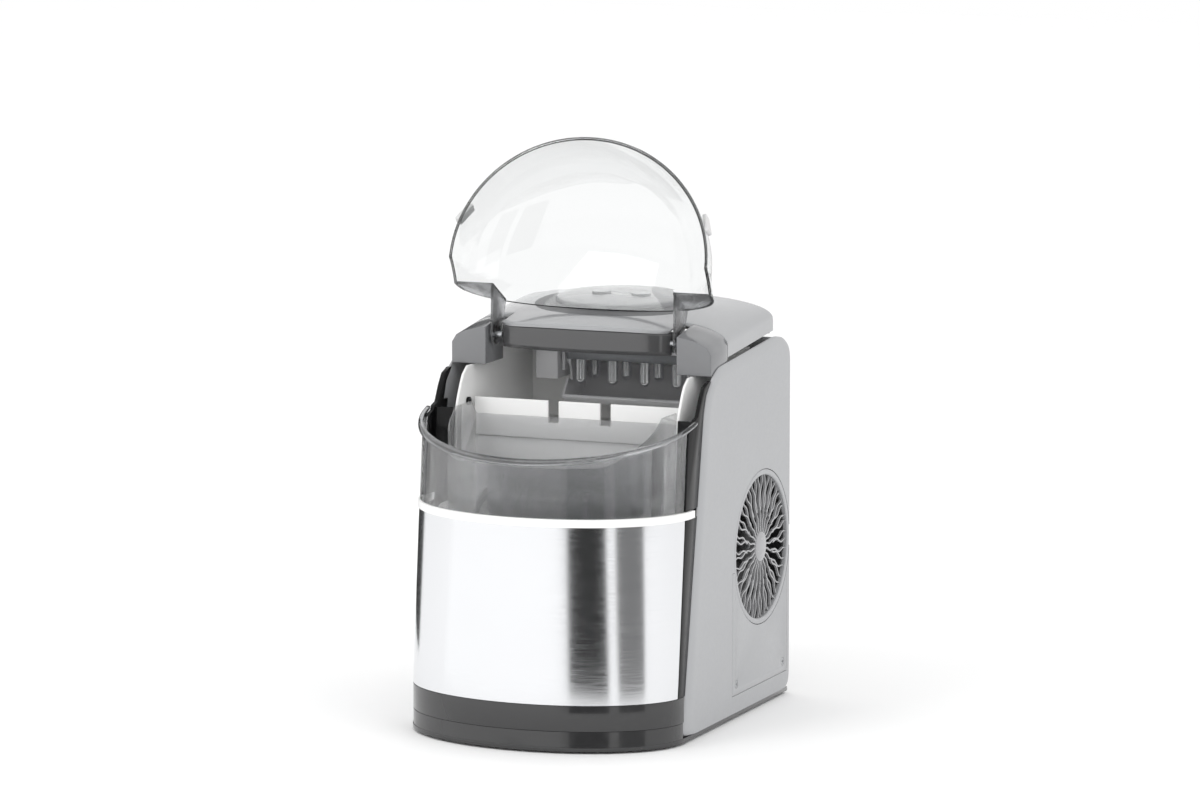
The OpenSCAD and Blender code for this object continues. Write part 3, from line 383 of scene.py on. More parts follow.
def build(name, form, finish_name, body="chassis", stands_for=(), bevel=0.0, angle=38.0):
    """A piece from its form, which is its points in millimetres and its faces."""
    mesh = from_points(name, *form, bevel, angle)
    return place(name, mesh, finish_name, body, stands_for)


# A form is a pair: the points of a piece, and the faces between them

def shell(outer, inner):
    """Form of a closed shell between two grids."""
    rows, cols = len(outer), len(outer[0])
    n = rows * cols
    points = [p for row in outer for p in row] + [p for row in inner for p in row]
    faces = []
    for j in range(rows - 1):
        for i in range(cols - 1):
            a = j * cols + i
            faces.append((a, a + 1, a + cols + 1, a + cols))
            faces.append((n + a, n + a + cols, n + a + cols + 1, n + a + 1))
    for j in range(rows - 1):
        a = j * cols
        faces.append((a, a + cols, n + a + cols, n + a))
        b = a + cols - 1
        faces.append((b, n + b, n + b + cols, b + cols))
    for i in range(cols - 1):
        faces.append((i, n + i, n + i + 1, i + 1))
        a = (rows - 1) * cols + i
        faces.append((a, a + 1, n + a + 1, n + a))
    return points, faces


def loft(loops, capped=True):
    """Form of a solid through closed loops with equal counts."""
    count = len(loops[0])
    points = [p for loop in loops for p in loop]
    faces = []
    for j in range(len(loops) - 1):
        for i in range(count):
            k = (i + 1) % count
            faces.append((j * count + i, j * count + k, (j + 1) * count + k, (j + 1) * count + i))
    if capped:
        faces.append(tuple(range(count)))
        faces.append(tuple((len(loops) - 1) * count + i for i in range(count)))
    return points, faces


def rounded(outline, radius, steps=5):
    """A 2-D outline with its corners rounded."""
    result = []
    for i, corner in enumerate(outline):
        before = Vector(outline[i - 1]) - Vector(corner)
        after = Vector(outline[(i + 1) % len(outline)]) - Vector(corner)
        reach = min(radius, before.length * 0.45, after.length * 0.45)
        start = Vector(corner) + before.normalized() * reach
        end = Vector(corner) + after.normalized() * reach
        for k in range(steps + 1):
            t = k / steps
            point = start * (1 - t) ** 2 + Vector(corner) * 2 * t * (1 - t) + end * t ** 2
            result.append((point.x, point.y))
    return result


def resampled(outline, count):
    """The outline as count points evenly spaced along it."""
    ring = [Vector(p) for p in outline]
    lengths = [0.0]
    for i in range(len(ring)):
        lengths.append(lengths[-1] + (ring[(i + 1) % len(ring)] - ring[i]).length)
    result = []
    k = 0
    for n in range(count):
        target = lengths[-1] * n / count
        while lengths[k + 1] < target:
            k += 1
        t = (target - lengths[k]) / max(1e-9, lengths[k + 1] - lengths[k])
        point = ring[k].lerp(ring[(k + 1) % len(ring)], t)
        result.append((point.x, point.y))
    return result


def slab(outline, low, high):
    """Form of a Y-Z outline extruded along X."""
    return loft([[(x, y, z) for y, z in outline] for x in (low, high)])


def mirrored(points):
    """The points on the other side of the machine."""
    return [(-x, y, z) for x, y, z in points]


def softened(node, finish_name, body="chassis", radius=None, angle=38.0, segments=2):
    """A copy of a solid with the edge radius, in mm, that a moulding or a pressing has."""
    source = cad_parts[node]
    mesh = source.data.copy()
    mesh.name = node + "_soft"
    mesh.transform(source.matrix_world)
    bevel_edges(mesh, sizes().edge if radius is None else radius * MM, angle, segments)
    mark_edges(mesh, BEVELLED_ANGLE)
    return place(node + "_soft", mesh, finish_name, body, (node,))


def carved(mesh, cutters):
    """The mesh with the cutter meshes taken out of it."""
    target = linked("carving", mesh)
    tools = []
    for number, cutter in enumerate(cutters):
        tool = linked(f"cutter_{number}", cutter)
        tools.append(tool)
        step = target.modifiers.new(tool.name, "BOOLEAN")
        step.operation = "DIFFERENCE"
        step.solver = "EXACT"
        step.object = tool
    bpy.context.view_layer.update()
    graph = bpy.context.evaluated_depsgraph_get()
    result = bpy.data.meshes.new_from_object(target.evaluated_get(graph))
    for thing in [target] + tools:
        bpy.data.objects.remove(thing)
    return result


# ---- shapes of the body ------------------------------------------------------

# Here x, y and z are a place in mm, a is an angle round the bow from its front, and off is a
# distance out from the bow's face.

def clamp01(t):
    """t held between 0 and 1."""
    return max(0.0, min(1.0, t))


def mixed(a, b, t):
    """From a at t = 0 to b at t = 1."""
    return a + (b - a) * t


def bow_yc(z):
    """y of the bow's ends, which lean back above the plinth."""
    return FRONT + BOW_D + max(0.0, z - PLINTH_TOP) * LEAN_C


def bow_b(z):
    """Depth of the bow in front of its ends."""
    return BOW_D + max(0.0, z - PLINTH_TOP) * LEAN_B


def bow_point(a, z, off):
    """A point on the bow, or off its face."""
    return ((BOW_W + off) * math.sin(a), bow_yc(z) - (bow_b(z) + off) * math.cos(a), z)


def rim_z(y):
    """Top of the window's rim, which falls towards the front."""
    return RIM_Z + RIM_SLOPE * (y - RIM_Y)


def rim_y(a):
    """y of the bow at about the height of the window's rim."""
    return bow_yc(250) - bow_b(250) * math.cos(a)


def flange_point(a, off, dz):
    """A point of the flared rim, which stands out further in front than at the sides."""
    y = rim_y(a) - off * 2.6 * math.cos(a)
    return ((BOW_W + off) * math.sin(a), y, rim_z(y) + dz)


def side_y(z):
    """Front edge of a side panel, which leans back."""
    return FRONT + 74.5 + 0.18 * z


def ridge_z(y):
    """Height at which the crown leaves its upright skirt."""
    return SIDE_TOP + 12 + 0.0975 * (y - BLOCK_Y)


def crown_mid(y):
    """Height of the crown along its middle, which swells towards the back."""
    return SIDE_TOP + 30.7 + 14 * math.sin(math.pi / 2 * clamp01((y - BLOCK_Y + 1) / 118))


def crown_z(x, y):
    """Height of the crown."""
    share = 1 - min(1.0, abs(x) / COVER_X) ** CROWN_N
    return ridge_z(y) + (crown_mid(y) - ridge_z(y)) * share ** (1 / CROWN_N)


def cover_base(y):
    """Lower edge of the crown's skirt."""
    return SIDE_TOP + 2.5 + 0.087 * (y - BLOCK_Y)


def fascia_y(x):
    """Face of the fascia, which curves back and turns in sharply at its ends."""
    u = abs(x) / FASCIA_W
    return BLOCK_Y - 1 + 9 * u ** 2 + 5 * u ** 12


def lid_half(y, inset):
    """Half the width of the shut lid, inset by a wall or part of one."""
    if y > LID_BEND:
        return LID_W - inset
    nose = (y - LID_BEND) / (LID_BEND - LID_NOSE - inset)
    return (LID_W - inset) * math.sqrt(max(0.0, 1 - nose ** 2))


def lid_edge(y):
    """Lower edge of the shut lid, which follows the rim and rises at the back."""
    if y < LID_BEND:
        return rim_z(y) + 1.2
    return rim_z(LID_BEND) + 1.2 + 22 * ((y - LID_BEND) / (LID_BACK - LID_BEND)) ** 0.8


def lid_crown(y, inset):
    """Height of the shut lid along its middle."""
    u = clamp01((LID_BACK + 2 - y) / (LID_BACK + 2 - LID_NOSE - inset))
    low = rim_z(LID_NOSE)
    return (SIDE_TOP + 30 - inset - low) * (1 - u ** 2.5) ** 0.4 + low


def lid_section(y, inset, cols):
    """One arch of the shut lid from its right edge over the middle to its left edge."""
    half, edge = lid_half(y, inset), lid_edge(y)
    height = max(0.4, lid_crown(y, inset) - edge)
    row = []
    for i in range(cols):
        a = math.pi * i / (cols - 1)
        c, s = math.cos(a), math.sin(a)
        row.append((half * math.copysign(abs(c) ** 0.8, c), y, edge + height * abs(s) ** 0.8))
    return row


def opened(points):
    """Points of the shut lid, turned about the hinge to the open lid."""
    c, s = math.cos(-LID_OPEN), math.sin(-LID_OPEN)
    y0, z0 = HINGE
    return [(x, y0 + (y - y0) * c - (z - z0) * s, z0 + (y - y0) * s + (z - z0) * c)
            for x, y, z in points]


# ---- operators --------------------------------------------------------------

class PieceOperator:
    """What every builder here shares; each has a make that builds its pieces."""
    bl_options = {"REGISTER", "UNDO"}

    def execute(self, context):
        self.make()
        return {"FINISHED"}


class ICM_OT_base(PieceOperator, bpy.types.Operator):
    """Build the polished base with its plinth band and rubber feet"""
    bl_idname = "ice_maker.base"
    bl_label = "Base and plinth"

    def make(self):
        softened("base_tray", "base", radius=1.2, segments=3)
        softened("plinth_band", "base", radius=0.7, segments=3)
        softened("rubber_feet", "rubber", radius=0.5)


class ICM_OT_front(PieceOperator, bpy.types.Operator):
    """Build the brushed steel front, the white band and the black columns"""
    bl_idname = "ice_maker.front"
    bl_label = "Steel front"

    def make(self):
        span = math.radians(82)
        columns = [-span + 2 * span * i / 120 for i in range(121)]
        # The top and bottom edges of the sheet are dressed with a small radius
        dressed = [(-0.35, STEEL_LOW), (-0.1, STEEL_LOW + 0.15)]
        dressed += [(0.0, mixed(STEEL_LOW, STEEL_HIGH, j / 12)) for j in range(1, 12)]
        dressed += [(-0.1, STEEL_HIGH - 0.15), (-0.35, STEEL_HIGH)]
        outer = [[bow_point(a, z, off) for a in columns] for off, z in dressed]
        inner = [[bow_point(a, z, -STEEL_T) for a in columns] for _, z in dressed]
        build("steel_front", shell(outer, inner), "steel", stands_for=("front_panel",))
        softened("trim_band", "white", radius=0.7, segments=3)
        for side in ("left", "right"):
            softened("frame_column_" + side, "column", radius=0.5)


class ICM_OT_window(PieceOperator, bpy.types.Operator):
    """Build the smoked window with its flared rim"""
    bl_idname = "ice_maker.window"
    bl_label = "Window"

    def make(self):
        span = math.radians(81)
        face = -0.4  # the window stands this far behind the bow
        low = BAND_TOP + 0.3
        loops = []
        for i in range(161):
            a = -span + 2 * span * i / 160
            top = rim_z(rim_y(a)) - 3.3
            loop = [bow_point(a, low, face - WALL), bow_point(a, low - 0.25, face - 0.4 - WALL / 2),
                    bow_point(a, low, face)]
            loop += [bow_point(a, mixed(low, top, t), face) for t in (0.33, 0.66, 1.0)]
            loop += [bow_point(a, mixed(low, top, t), face - WALL) for t in (1.0, 0.66, 0.33)]
            loops.append(loop)
        build("window_smoked", loft(loops), "smoked", stands_for=("front_window",))
        # The flared rim runs on to the columns past the ends of the wall
        section = ((0.3, -3.0), (1.8, -2.9), (2.4, -2.4), (2.5, -1.4), (2.4, -0.5), (1.9, 0.0), (0.2, 0.0),
                   (-0.9, -0.1), (-1.2, -0.6), (-1.2, -2.6), (-0.8, -3.0))
        turns = [math.radians(mixed(-89.9, 89.9, i / 180)) for i in range(181)]
        loops = [[flange_point(a, off, dz) for off, dz in section] for a in turns]
        build("window_rim", loft(loops), "rim")


# Corners of a side panel in y and z: its outer edge, and the flat face inside the rolled shoulder
PANEL_FOOT = 6
PANEL_BACK = REAR - 2
SHOULDER_Y = side_y(268)
SIDE_OUTLINE = [(PANEL_BACK, PANEL_FOOT), (side_y(PANEL_FOOT), PANEL_FOOT), (SHOULDER_Y, 268),
                (SHOULDER_Y + 6, 283), (SHOULDER_Y + 19, 295), (SHOULDER_Y + 33, 302.4),
                (127, 312.5), (148, 309), (156, 303), (PANEL_BACK, 297)]
SIDE_FACE = [(PANEL_BACK, PANEL_FOOT), (side_y(PANEL_FOOT) + 12, PANEL_FOOT), (SHOULDER_Y + 10, 274),
             (SHOULDER_Y + 17, 287), (SHOULDER_Y + 30, 291.5), (127, 303.4), (PANEL_BACK, 302.4)]


def box_mesh(name, low, high):
    """A box between two corners."""
    points = [(x, y, z) for x in (low[0], high[0]) for y in (low[1], high[1]) for z in (low[2], high[2])]
    faces = [(0, 1, 3, 2), (4, 6, 7, 5), (0, 4, 5, 1), (2, 3, 7, 6), (0, 2, 6, 4), (1, 5, 7, 3)]
    return from_points(name, points, faces)


def fan_circle(radius, x, count=128):
    """Points of a circle round the fan's axis."""
    turns = [2 * math.pi * k / count for k in range(count)]
    return [(x, FAN_Y + radius * math.cos(a), FAN_Z + radius * math.sin(a)) for a in turns]


def turned(profile, steps):
    """Form of a (radius, x) profile turned about the fan's axis."""
    loops = []
    for k in range(steps + 1):
        a = 2 * math.pi * k / steps
        loops.append([(x, FAN_Y + r * math.cos(a), FAN_Z + r * math.sin(a)) for r, x in profile])
    return loft(loops, capped=False)


class ICM_OT_sides(PieceOperator, bpy.types.Operator):
    """Build the side panels with their rounded shoulder, and the fan's service cover"""
    bl_idname = "ice_maker.sides"
    bl_label = "Side panels"

    def panel(self):
        """The right panel's outer form: a flat face that rolls over to the edge."""
        outline = resampled(rounded(SIDE_OUTLINE, 9), 320)
        face = resampled(rounded(SIDE_FACE, 14), 320)
        loops = [[(x, y, z) for y, z in outline] for x in (PANEL_IN, PANEL_IN + 0.35)]
        for k in range(9):
            t = k / 8
            x = mixed(PANEL_IN + 0.6, HALF_W, math.sin(t * math.pi / 2))
            loops.append([(x, mixed(p[0], q[0], t ** 1.4), mixed(p[1], q[1], t ** 1.4))
                          for p, q in zip(outline, face)])
        # One more ring, drawn in towards the middle, keeps the flat's shading clear of the rolled edge
        middle_y, middle_z, draw = 40, 150, 0.03
        loops.append([(HALF_W, mixed(y, middle_y, draw), mixed(z, middle_z, draw))
                      for _, y, z in loops[-1]])
        return loft(loops)

    def make(self):
        points, faces = self.panel()
        # The cutters reach a little past both faces of the panel
        within, beyond = PANEL_IN - 1, HALF_W + 1
        left = from_points("side_left", mirrored(points), faces)
        slots = []
        for k in range(8):
            low, high = 90 + 11 * k, 94.5 + 11 * k
            slots.append(box_mesh(f"slot_{k}", (-beyond, FAN_Y - 45, low), (-within, FAN_Y + 45, high)))
        left = carved(left, slots)
        mark_edges(left)
        place("side_left", left, "case", stands_for=("side_panel_left",))
        right = from_points("side_right", points, faces)
        fan_hole = from_points("fan_hole", *loft([fan_circle(RING_R + 0.4, x) for x in (115, 123)]))
        # The service cover lies in a shallow recess under the fan
        recess = box_mesh("recess", (118.6, FAN_Y - 69.9, 20.6), (123, REAR - 7.6, 125.4))
        right = carved(right, [fan_hole, recess])
        mark_edges(right)
        place("side_right", right, "case", stands_for=("side_panel_right",))
        softened("fan_service_cover", "case", radius=0.35)


class ICM_OT_fan(PieceOperator, bpy.types.Operator):
    """Build the fan grille with its ring and wavy ribs, the duct, the motor and the impeller"""
    bl_idname = "ice_maker.fan"
    bl_label = "Fan"

    # Stretches of a forked rib: side it leaves to, inner and outer radius, inner and outer x
    STRETCHES = ((0, 11.0, 32.0, 117.3, 119.3),
                 (1, 30.5, FAN_R + 0.6, 117.2, 119.2),
                 (-1, 30.5, FAN_R + 0.6, 117.25, 119.15))

    def rib(self, turn, side, start, end, half):
        """Outline of a rib in y and z, which leaves the centre line to one side as it runs out."""
        left, right = [], []
        for k in range(19):
            t = k / 18
            r = mixed(start, end, t)
            spread = side * math.radians(4.0) * clamp01((r - 30) / 32) ** 0.8
            a = turn + spread + sizes().rib_wave * math.sin(t * 9 + turn * 3 + side)
            width = half * mixed(1.15, 0.85, t) / r
            for line, angle in ((left, a - width), (right, a + width)):
                line.append((FAN_Y + r * math.cos(angle), FAN_Z + r * math.sin(angle)))
        return left + right[::-1]

    def ribs(self):
        """Form of all the ribs together."""
        points, faces = [], []
        half = sizes().rib_width / MM / 2
        for n in range(sizes().ribs):
            turn = 2 * math.pi * n / sizes().ribs
            for side, start, end, low, high in self.STRETCHES:
                more, extra = slab(self.rib(turn, side, start, end, half), low, high)
                faces += [tuple(k + len(points) for k in face) for face in extra]
                points += more
        return points, faces

    def make(self):
        ring = [(FAN_R, 117.1), (FAN_R, 120.2), (FAN_R + 0.7, 120.9), (FAN_R + 1.6, HALF_W),
                (RING_R - 1.2, HALF_W), (RING_R - 0.3, 120.8), (RING_R, 120.2), (RING_R, 117.1)]
        build("fan_ring", turned(ring, 160), "case", stands_for=("fan_grille",))
        # The ribs' light grey is partly their own colour and partly painted highlight
        build("fan_ribs", self.ribs(), "grille")
        hub = [(0.01, 117.05), (HUB_R - 0.4, 117.05), (HUB_R, 117.6), (HUB_R, 119.0), (HUB_R - 0.6, 119.9),
               (10.0, 120.5), (5.0, 120.9), (0.01, HALF_W)]
        build("fan_hub_cap", turned(hub, 64), "grille")
        softened("fan_shroud", "duct", radius=0.4)
        softened("fan_motor", "motor", radius=0.6)
        softened("fan_impeller", "duct", "fan", 0.4)


class ICM_OT_top(PieceOperator, bpy.types.Operator):
    """Build the crowned top, its smoked fascia, the hinge blocks and the rear hood"""
    bl_idname = "ice_maker.top"
    bl_label = "Top"

    def cover(self):
        """Form of the crown, which starts over the fascia and behind the hinge blocks."""
        step = FASCIA_W - 0.2
        inside = [step * math.sin(math.pi / 2 * (i / 40 * 2 - 1)) for i in range(41)]
        flank = [mixed(step + 0.1, COVER_X, math.sin(math.pi / 2 * i / 26)) for i in range(27)]
        xs = [-x for x in reversed(flank)] + inside + flank
        outer, inner = [], []
        rows = [0.0, 0.004, 0.012, 0.03] + [0.05 + 0.92 * j / 30 for j in range(31)] + [0.985, 0.995, 1.0]
        # How far the front and rear edges roll down, in mm
        roll = {0.0: 0.8, 0.004: 0.3, 0.012: 0.05, 0.985: 0.25, 0.995: 0.9, 1.0: 2.2}
        for t in rows:
            row_out, row_in = [], []
            for x in xs:
                first = fascia_y(x) if abs(x) <= step else SLOT_END + 0.4
                y = mixed(first, COVER_END, t)
                drop = roll.get(t, 0.0)
                row_out.append((x, y, crown_z(x, y) - drop))
                squeeze = x * (COVER_X - WALL) / COVER_X
                row_in.append((squeeze, y, crown_z(x, y) - WALL - drop * 0.4))
            # The skirt turns down at both sides
            for row, reach in ((row_out, COVER_X), (row_in, COVER_X - WALL)):
                row.insert(0, (-reach, y, mixed(row[0][2], cover_base(y), 0.55)))
                row.insert(0, (-reach, y, cover_base(y)))
                row.append((reach, y, mixed(row[-1][2], cover_base(y), 0.55)))
                row.append((reach, y, cover_base(y)))
            outer.append(row_out)
            inner.append(row_in)
        return shell(outer, inner)

    def back_wall(self):
        """Form of the wall that closes the crown, just inside its rolled rear edge."""
        half = COVER_X - 2.7
        xs = [half * math.sin(math.pi / 2 * (i / 30 - 1)) for i in range(61)]
        arc = [(x, crown_z(x, COVER_END) - 2.4) for x in xs]
        back = [(-half, SIDE_TOP + 12.6)] + arc + [(half, SIDE_TOP + 12.6)]
        return loft([[(x, y, z) for x, z in back] for y in (COVER_END - 2.4, COVER_END - 0.3)])

    def strip(self):
        """Form of the smoked strip under the crown's front edge, with its lip."""
        lip = ((3.0, 310.4), (1.2, 310.4), (0.6, 310.8), (0.6, 312.4), (-0.1, 313.2), (0.0, LIP_Z))
        face = ((0.05, 0.3), (0.1, 0.6), (0.3, 0.9), (0.7, 0.97), (1.4, 1.0), (3.0, 1.0))
        loops = []
        for i in range(81):
            x = FASCIA_W * math.sin(math.pi / 2 * (i / 40 - 1))
            y = fascia_y(x)
            top = crown_z(x, y) - 2.9
            loop = [(x, y + dy, z) for dy, z in lip]
            loop += [(x, y + dy, mixed(LIP_Z, top, t)) for dy, t in face]
            loops.append(loop)
        return loft(loops)

    def make(self):
        build("crown", self.cover(), "top", stands_for=("top_cover",), angle=44)
        build("crown_back", self.back_wall(), "top", bevel=0.3)
        build("fascia_smoked", self.strip(), "fascia", stands_for=("top_fascia",),
              angle=60)
        for side in ("left", "right"):
            softened("hinge_block_" + side, "block", radius=0.6, segments=3)
        softened("rear_hood", "case", radius=1.5, segments=3)
        softened("lid_hinge_pins", "screw")


def crown_patch(name, middle, half_x, half_y, low, high, power=2.0, rolled=0.0):
    """A plate on the crown, from low to high over it, with an oval outline.

    middle is the oval's y. A power over 2 squares the oval, and rolled rounds the upper edge.
    """
    count = 96
    shares = [1.0, 0.97, 0.9, 0.75, 0.5, 0.25, 0.02]

    def ring(share, rise):
        loop = []
        for k in range(count):
            a = 2 * math.pi * k / count
            c, s = math.cos(a), math.sin(a)
            x = half_x * share * math.copysign(abs(c) ** (2 / power), c)
            y = middle + half_y * share * math.copysign(abs(s) ** (2 / power), s)
            loop.append((x, y, crown_z(x, y) + rise))
        return loop

    loops = [ring(share, low) for share in reversed(shares)]
    if rolled:
        loops += [ring(0.995, mixed(low, high, 0.5)), ring(0.985, high - rolled)]
        loops.append(ring(0.975, high - rolled * 0.35))
    top = 0.96 if rolled else 1.0
    loops += [ring(share * top, high) for share in shares]
    return from_points(name, *loft(loops))


class ICM_OT_controls(PieceOperator, bpy.types.Operator):
    """Build the printed overlay, the raised pod, its buttons, lenses and the board under them"""
    bl_idname = "ice_maker.controls"
    bl_label = "Controls"

    def make(self):
        film = crown_patch("overlay_film", POD_Y - 6, 72, 56, 0.02, 0.1, power=2.2)
        place("overlay_film", film, "overlay")
        pod = crown_patch("pod_top", POD_Y, 57, 48, 0.12, 3.4, rolled=0.8)
        wells = []
        turns = [math.pi * k / 32 for k in range(64)]
        for x in (-BUTTON_X, BUTTON_X):
            circle = [(x + WELL_R * math.cos(a), POD_Y + WELL_R * math.sin(a)) for a in turns]
            # The cutter reaches from under the crown to above the pod
            loops = [[(u, v, z) for u, v in circle] for z in (335, 365)]
            wells.append(from_points("well", *loft(loops)))
        pod = carved(pod, wells)
        bevel_edges(pod, 0.3 * MM, 55)
        mark_edges(pod, BEVELLED_ANGLE)
        place("pod_top", pod, "pod", stands_for=("control_pod",))
        softened("power_button", "button", "power_key", 0.7, segments=3)
        softened("select_button", "button", "select_key", 0.7, segments=3)
        softened("indicator_lenses", "lens", radius=0.2)
        softened("control_board", "board", radius=0.1)


class ICM_OT_lid(PieceOperator, bpy.types.Operator):
    """Build the clear lid with its corner walls, arms and catches"""
    bl_idname = "ice_maker.lid"
    bl_label = "Lid"

    def dome(self):
        """Form of the clear shell, with its wall's thickness."""
        wall = sizes().lid_wall / MM
        rows, cols = 72, 121
        steps = [math.sin(math.radians(89.8 * j / (rows - 1))) for j in range(rows)]
        outer = [opened(lid_section(mixed(LID_BACK, LID_NOSE, s), 0.0, cols)) for s in steps]
        inner = [opened(lid_section(mixed(LID_BACK, LID_NOSE + wall, s), wall, cols)) for s in steps]
        return shell(outer, inner)

    def rim_path(self):
        """Places along the shut lid's lower edge, from left to right, each with the way out."""
        path = [((-LID_W, mixed(LID_BACK, LID_BEND, k / 10)), (-1, 0.0)) for k in range(10)]
        for k in range(91):
            a = math.pi * k / 90
            c, s = math.cos(math.pi - a), math.sin(a)
            path.append(((LID_W * c, LID_BEND - (LID_BEND - LID_NOSE) * s), (c, -s)))
        path += [((LID_W, mixed(LID_BEND, LID_BACK, k / 10)), (1, 0.0)) for k in range(1, 11)]
        return path

    def bead(self):
        """Form of the thickened lower edge."""
        loops = []
        for (x, y), (out_x, out_y) in self.rim_path():
            z = lid_edge(y)
            loop = []
            for k in range(10):
                a = 2 * math.pi * k / 10
                off, up = 0.9 * math.cos(a) - 0.5, 0.7 * math.sin(a) + 0.5
                loop.append((x + out_x * off, y + out_y * off, z + up))
            loops.append(opened(loop))
        return loft(loops)

    def corner_wall(self):
        """Form of the shut lid's upright wall at its right rear corner."""
        section = [(x, z) for x, _, z in lid_section(LID_BACK, 0.8, 161) if x > ARM_X]
        wall = [(ARM_X, lid_edge(LID_BACK))] + section + [(ARM_X, section[-1][1])]
        return loft([[(x, y, z) for x, z in wall] for y in (LID_BACK - 2.2, LID_BACK)])

    def arm(self):
        """Form of the shut lid's right arm, which ends in a round eye on the pin."""
        y0, z0 = HINGE
        turns = [math.radians(-62 + 152 * k / 16) for k in range(17)]
        eye = [(y0 + 9 * math.cos(a), z0 + 9 * math.sin(a)) for a in turns]
        plate = [(LID_BACK - 2.4, lid_edge(LID_BACK))] + eye + [(LID_BACK - 2.4, z0 + 4)]
        return slab(plate, ARM_X, ARM_X + ARM_T)

    def make(self):
        build("lid_dome", self.dome(), "clear", "lid", ("lid",), angle=50)
        build("lid_rim_bead", self.bead(), "clear", "lid")
        for side, turn_over in (("left", mirrored), ("right", list)):
            for kind, (points, faces) in (("wall", self.corner_wall()), ("arm", self.arm())):
                form = opened(turn_over(points)), faces
                build(f"lid_{kind}_{side}", form, "arm", "lid", bevel=0.7)
        softened("lid_catches", "catch", "lid", 0.8, segments=3)


class ICM_OT_bin(PieceOperator, bpy.types.Operator):
    """Build the white bin, the smoked basket, the shovel, the sensor and the float"""
    bl_idname = "ice_maker.bin"
    bl_label = "Bin and basket"

    def make(self):
        softened("water_tank", "white", radius=0.8)
        softened("bin_liner", "white", radius=0.8)
        softened("ice_basket", "basket", "basket", 0.5)
        softened("ice_shovel", "white", "shovel", 0.8, segments=3)
        softened("ice_sensor", "column", radius=0.3)
        softened("water_float", "white", "float", 0.8)


class ICM_OT_freezer(PieceOperator, bpy.types.Operator):
    """Build the plated fingers, their frame, the tilting tray and its motor"""
    bl_idname = "ice_maker.freezer"
    bl_label = "Freezing parts"

    def make(self):
        plated = softened("evaporator", "chrome", radius=0.6)
        # The block over the fingers is bare cast metal
        plated.data.materials.append(finish("cast"))
        for face in plated.data.polygons:
            face.material_index = int(face.center.z > FINGER_BLOCK_Z * MM)
        softened("evaporator_frame", "inside", radius=0.4)
        softened("water_tray", "inside", "tray", 0.5)
        softened("tray_motor", "inside", radius=0.8)


class ICM_OT_cooling(PieceOperator, bpy.types.Operator):
    """Build the compressor, the condenser, the pipes, the pump and the hoses"""
    bl_idname = "ice_maker.cooling"
    bl_label = "Cooling circuit"

    def make(self):
        softened("compressor", "enamel", radius=0.8, angle=50)
        softened("compressor_mounts", "rubber")
        softened("condenser", "fins", radius=0.15)
        softened("condenser_bracket", "zinc", radius=0.3)
        for pipe in ("discharge_pipe", "suction_pipe", "filter_drier"):
            softened(pipe, "copper", radius=0.3, angle=60)
        softened("water_pump", "duct", radius=0.8)
        softened("water_hose", "hose", radius=0.3, angle=60)


class ICM_OT_rear(PieceOperator, bpy.types.Operator):
    """Build the vented rear panel with its inlet, drain cap and screws"""
    bl_idname = "ice_maker.rear"
    bl_label = "Rear"

    def make(self):
        softened("rear_panel", "case", radius=0.5)
        softened("power_inlet", "duct", radius=0.5)
        softened("drain_cap", "white", "drain", 0.8)
        softened("case_screws", "screw", radius=0.15)


# The stage, in metres. Cards stand upright round the front, and the polished faces mirror them
# as bands: name, x and y of the two ends, brightness
CARDS = (("card_white", (-0.4925, -0.2867), (0.0678, -0.6016), 1.25),
         ("flag_dark", (0.109, -0.596), (0.3315, -0.5083), 0.03),
         ("card_strip", (0.3315, -0.5083), (0.3867, -0.4653), 1.25),
         ("flag_grey", (0.3867, -0.4653), (0.520, -0.279), 0.22),
         ("flag_left", (-0.4998, 0.090), (-0.40, 0.60), 0.05))
CARD_HIGH = 0.6
# Soft lamps: name, place, width, power in watts
LAMPS = (("key", (-1.6, -2.4, 2.6), 1.6, 26.0),
         ("fill", (2.6, -1.4, 1.8), 2.0, 14.0))
LAMP_AIM = (0.0, -0.02, 0.2)
CAMERA_AT = (1.8825, -4.5855, 0.9938)
CAMERA_AIM = (0.03696, -0.06429, 0.27924)
CAMERA_LENS = 180


def facing(location, target):
    """Rotation of a lamp or a camera at location that looks at target."""
    return (Vector(location) - Vector(target)).to_track_quat("Z", "Y").to_euler()


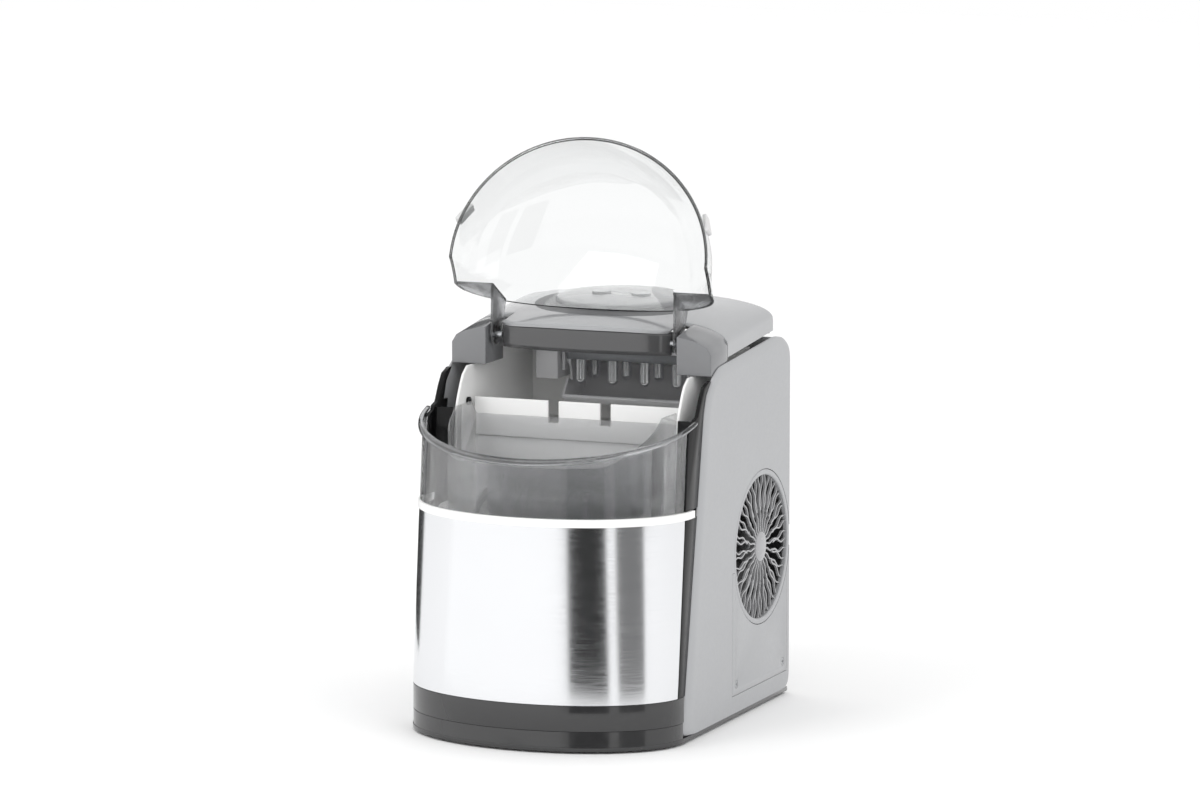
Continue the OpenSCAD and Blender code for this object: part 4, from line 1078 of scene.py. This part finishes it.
class ICM_OT_stage(PieceOperator, bpy.types.Operator):
    """Build the floor, the light and the camera"""
    bl_idname = "ice_maker.stage"
    bl_label = "Stage"

    def card(self, name, start, end, brightness):
        """An upright card on the floor from start to end, which only the polished faces mirror."""
        low, high = 0.001, CARD_HIGH
        mesh = bpy.data.meshes.new(name)
        mesh.from_pydata([(*start, low), (*end, low), (*end, high), (*start, high)], [], [(0, 1, 2, 3)])
        card = linked(name, mesh)
        mat = bpy.data.materials.new(name + "_card")
        mat.use_nodes = True
        tree = mat.node_tree
        tree.nodes.clear()
        glow = add(tree, "ShaderNodeEmission", {"Color": (brightness, brightness, brightness, 1.0),
                                                "Strength": 1.0})
        add(tree, "ShaderNodeOutputMaterial", {"Surface": glow.outputs[0]})
        mesh.materials.append(mat)
        card.visible_camera = False
        card.visible_diffuse = False
        card.visible_shadow = False
        card.visible_transmission = False

    def lamp(self, name, location, width, power):
        """A square soft lamp, which the polished faces don't mirror."""
        light = bpy.data.lights.new(name, "AREA")
        light.shape = "SQUARE"
        light.size = width
        light.energy = power
        lamp = linked(name, light)
        lamp.location = location
        lamp.rotation_euler = facing(location, LAMP_AIM)
        lamp.visible_glossy = False

    def floor(self):
        """A flat grid of cells under the machine."""
        half = sizes().floor / 2
        cells = 24
        row = cells + 1
        steps = [mixed(-half, half, i / cells) for i in range(row)]
        points = [(x, y, 0.0) for y in steps for x in steps]
        corners = [j * row + i for j in range(cells) for i in range(cells)]
        faces = [(k, k + 1, k + row + 1, k + row) for k in corners]
        mesh = bpy.data.meshes.new("floor")
        mesh.from_pydata(points, [], faces)
        mesh.materials.append(finish("floor"))
        floor = linked("floor", mesh)

    def sky(self):
        """Even white light from all round."""
        world = bpy.data.worlds.new("soft_studio")
        bpy.context.scene.world = world
        world.use_nodes = True
        world.node_tree.nodes.clear()
        sky = add(world.node_tree, "ShaderNodeBackground", {"Color": (1.0, 1.0, 1.0, 1.0), "Strength": 1.0})
        add(world.node_tree, "ShaderNodeOutputWorld", {"Surface": sky.outputs[0]})

    def camera(self):
        """The camera, which looks from the front right and a little above."""
        camera = linked("camera", bpy.data.cameras.new("camera"))
        camera.data.lens = CAMERA_LENS
        camera.data.sensor_width = 36
        camera.data.clip_end = 100
        camera.location = CAMERA_AT
        camera.rotation_euler = facing(camera.location, CAMERA_AIM)
        bpy.context.scene.camera = camera

    def make(self):
        self.floor()
        self.sky()
        for row in CARDS:
            self.card(*row)
        for row in LAMPS:
            self.lamp(*row)
        self.camera()
        bpy.context.scene.view_settings.view_transform = "Standard"


BUILDERS = (ICM_OT_stage, ICM_OT_base, ICM_OT_front, ICM_OT_window, ICM_OT_sides, ICM_OT_fan, ICM_OT_top,
            ICM_OT_controls, ICM_OT_lid, ICM_OT_bin, ICM_OT_freezer, ICM_OT_cooling, ICM_OT_rear)


class ICM_PT_panel(bpy.types.Panel):
    """Lists the builders and their settings"""
    bl_idname = "ICM_PT_panel"
    bl_label = "Ice maker"
    bl_space_type = "VIEW_3D"
    bl_region_type = "UI"
    bl_category = "Ice maker"

    def draw(self, context):
        for group in (context.scene.ice_maker_sizes, context.scene.ice_maker_colours):
            for key in group.__annotations__:
                self.layout.prop(group, key)
        for builder in BUILDERS:
            self.layout.operator(builder.bl_idname)


def register():
    for cls in (IceMakerSizes, IceMakerColours, *BUILDERS, ICM_PT_panel):
        bpy.utils.register_class(cls)
    bpy.types.Scene.ice_maker_sizes = bpy.props.PointerProperty(type=IceMakerSizes)
    bpy.types.Scene.ice_maker_colours = bpy.props.PointerProperty(type=IceMakerColours)


def unregister():
    del bpy.types.Scene.ice_maker_colours
    del bpy.types.Scene.ice_maker_sizes
    for cls in reversed((IceMakerSizes, IceMakerColours, *BUILDERS, ICM_PT_panel)):
        bpy.utils.unregister_class(cls)


def main():
    register()
    for builder in BUILDERS:
        group, name = builder.bl_idname.split(".")
        getattr(getattr(bpy.ops, group), name)()


if __name__ == "__main__":
    main()
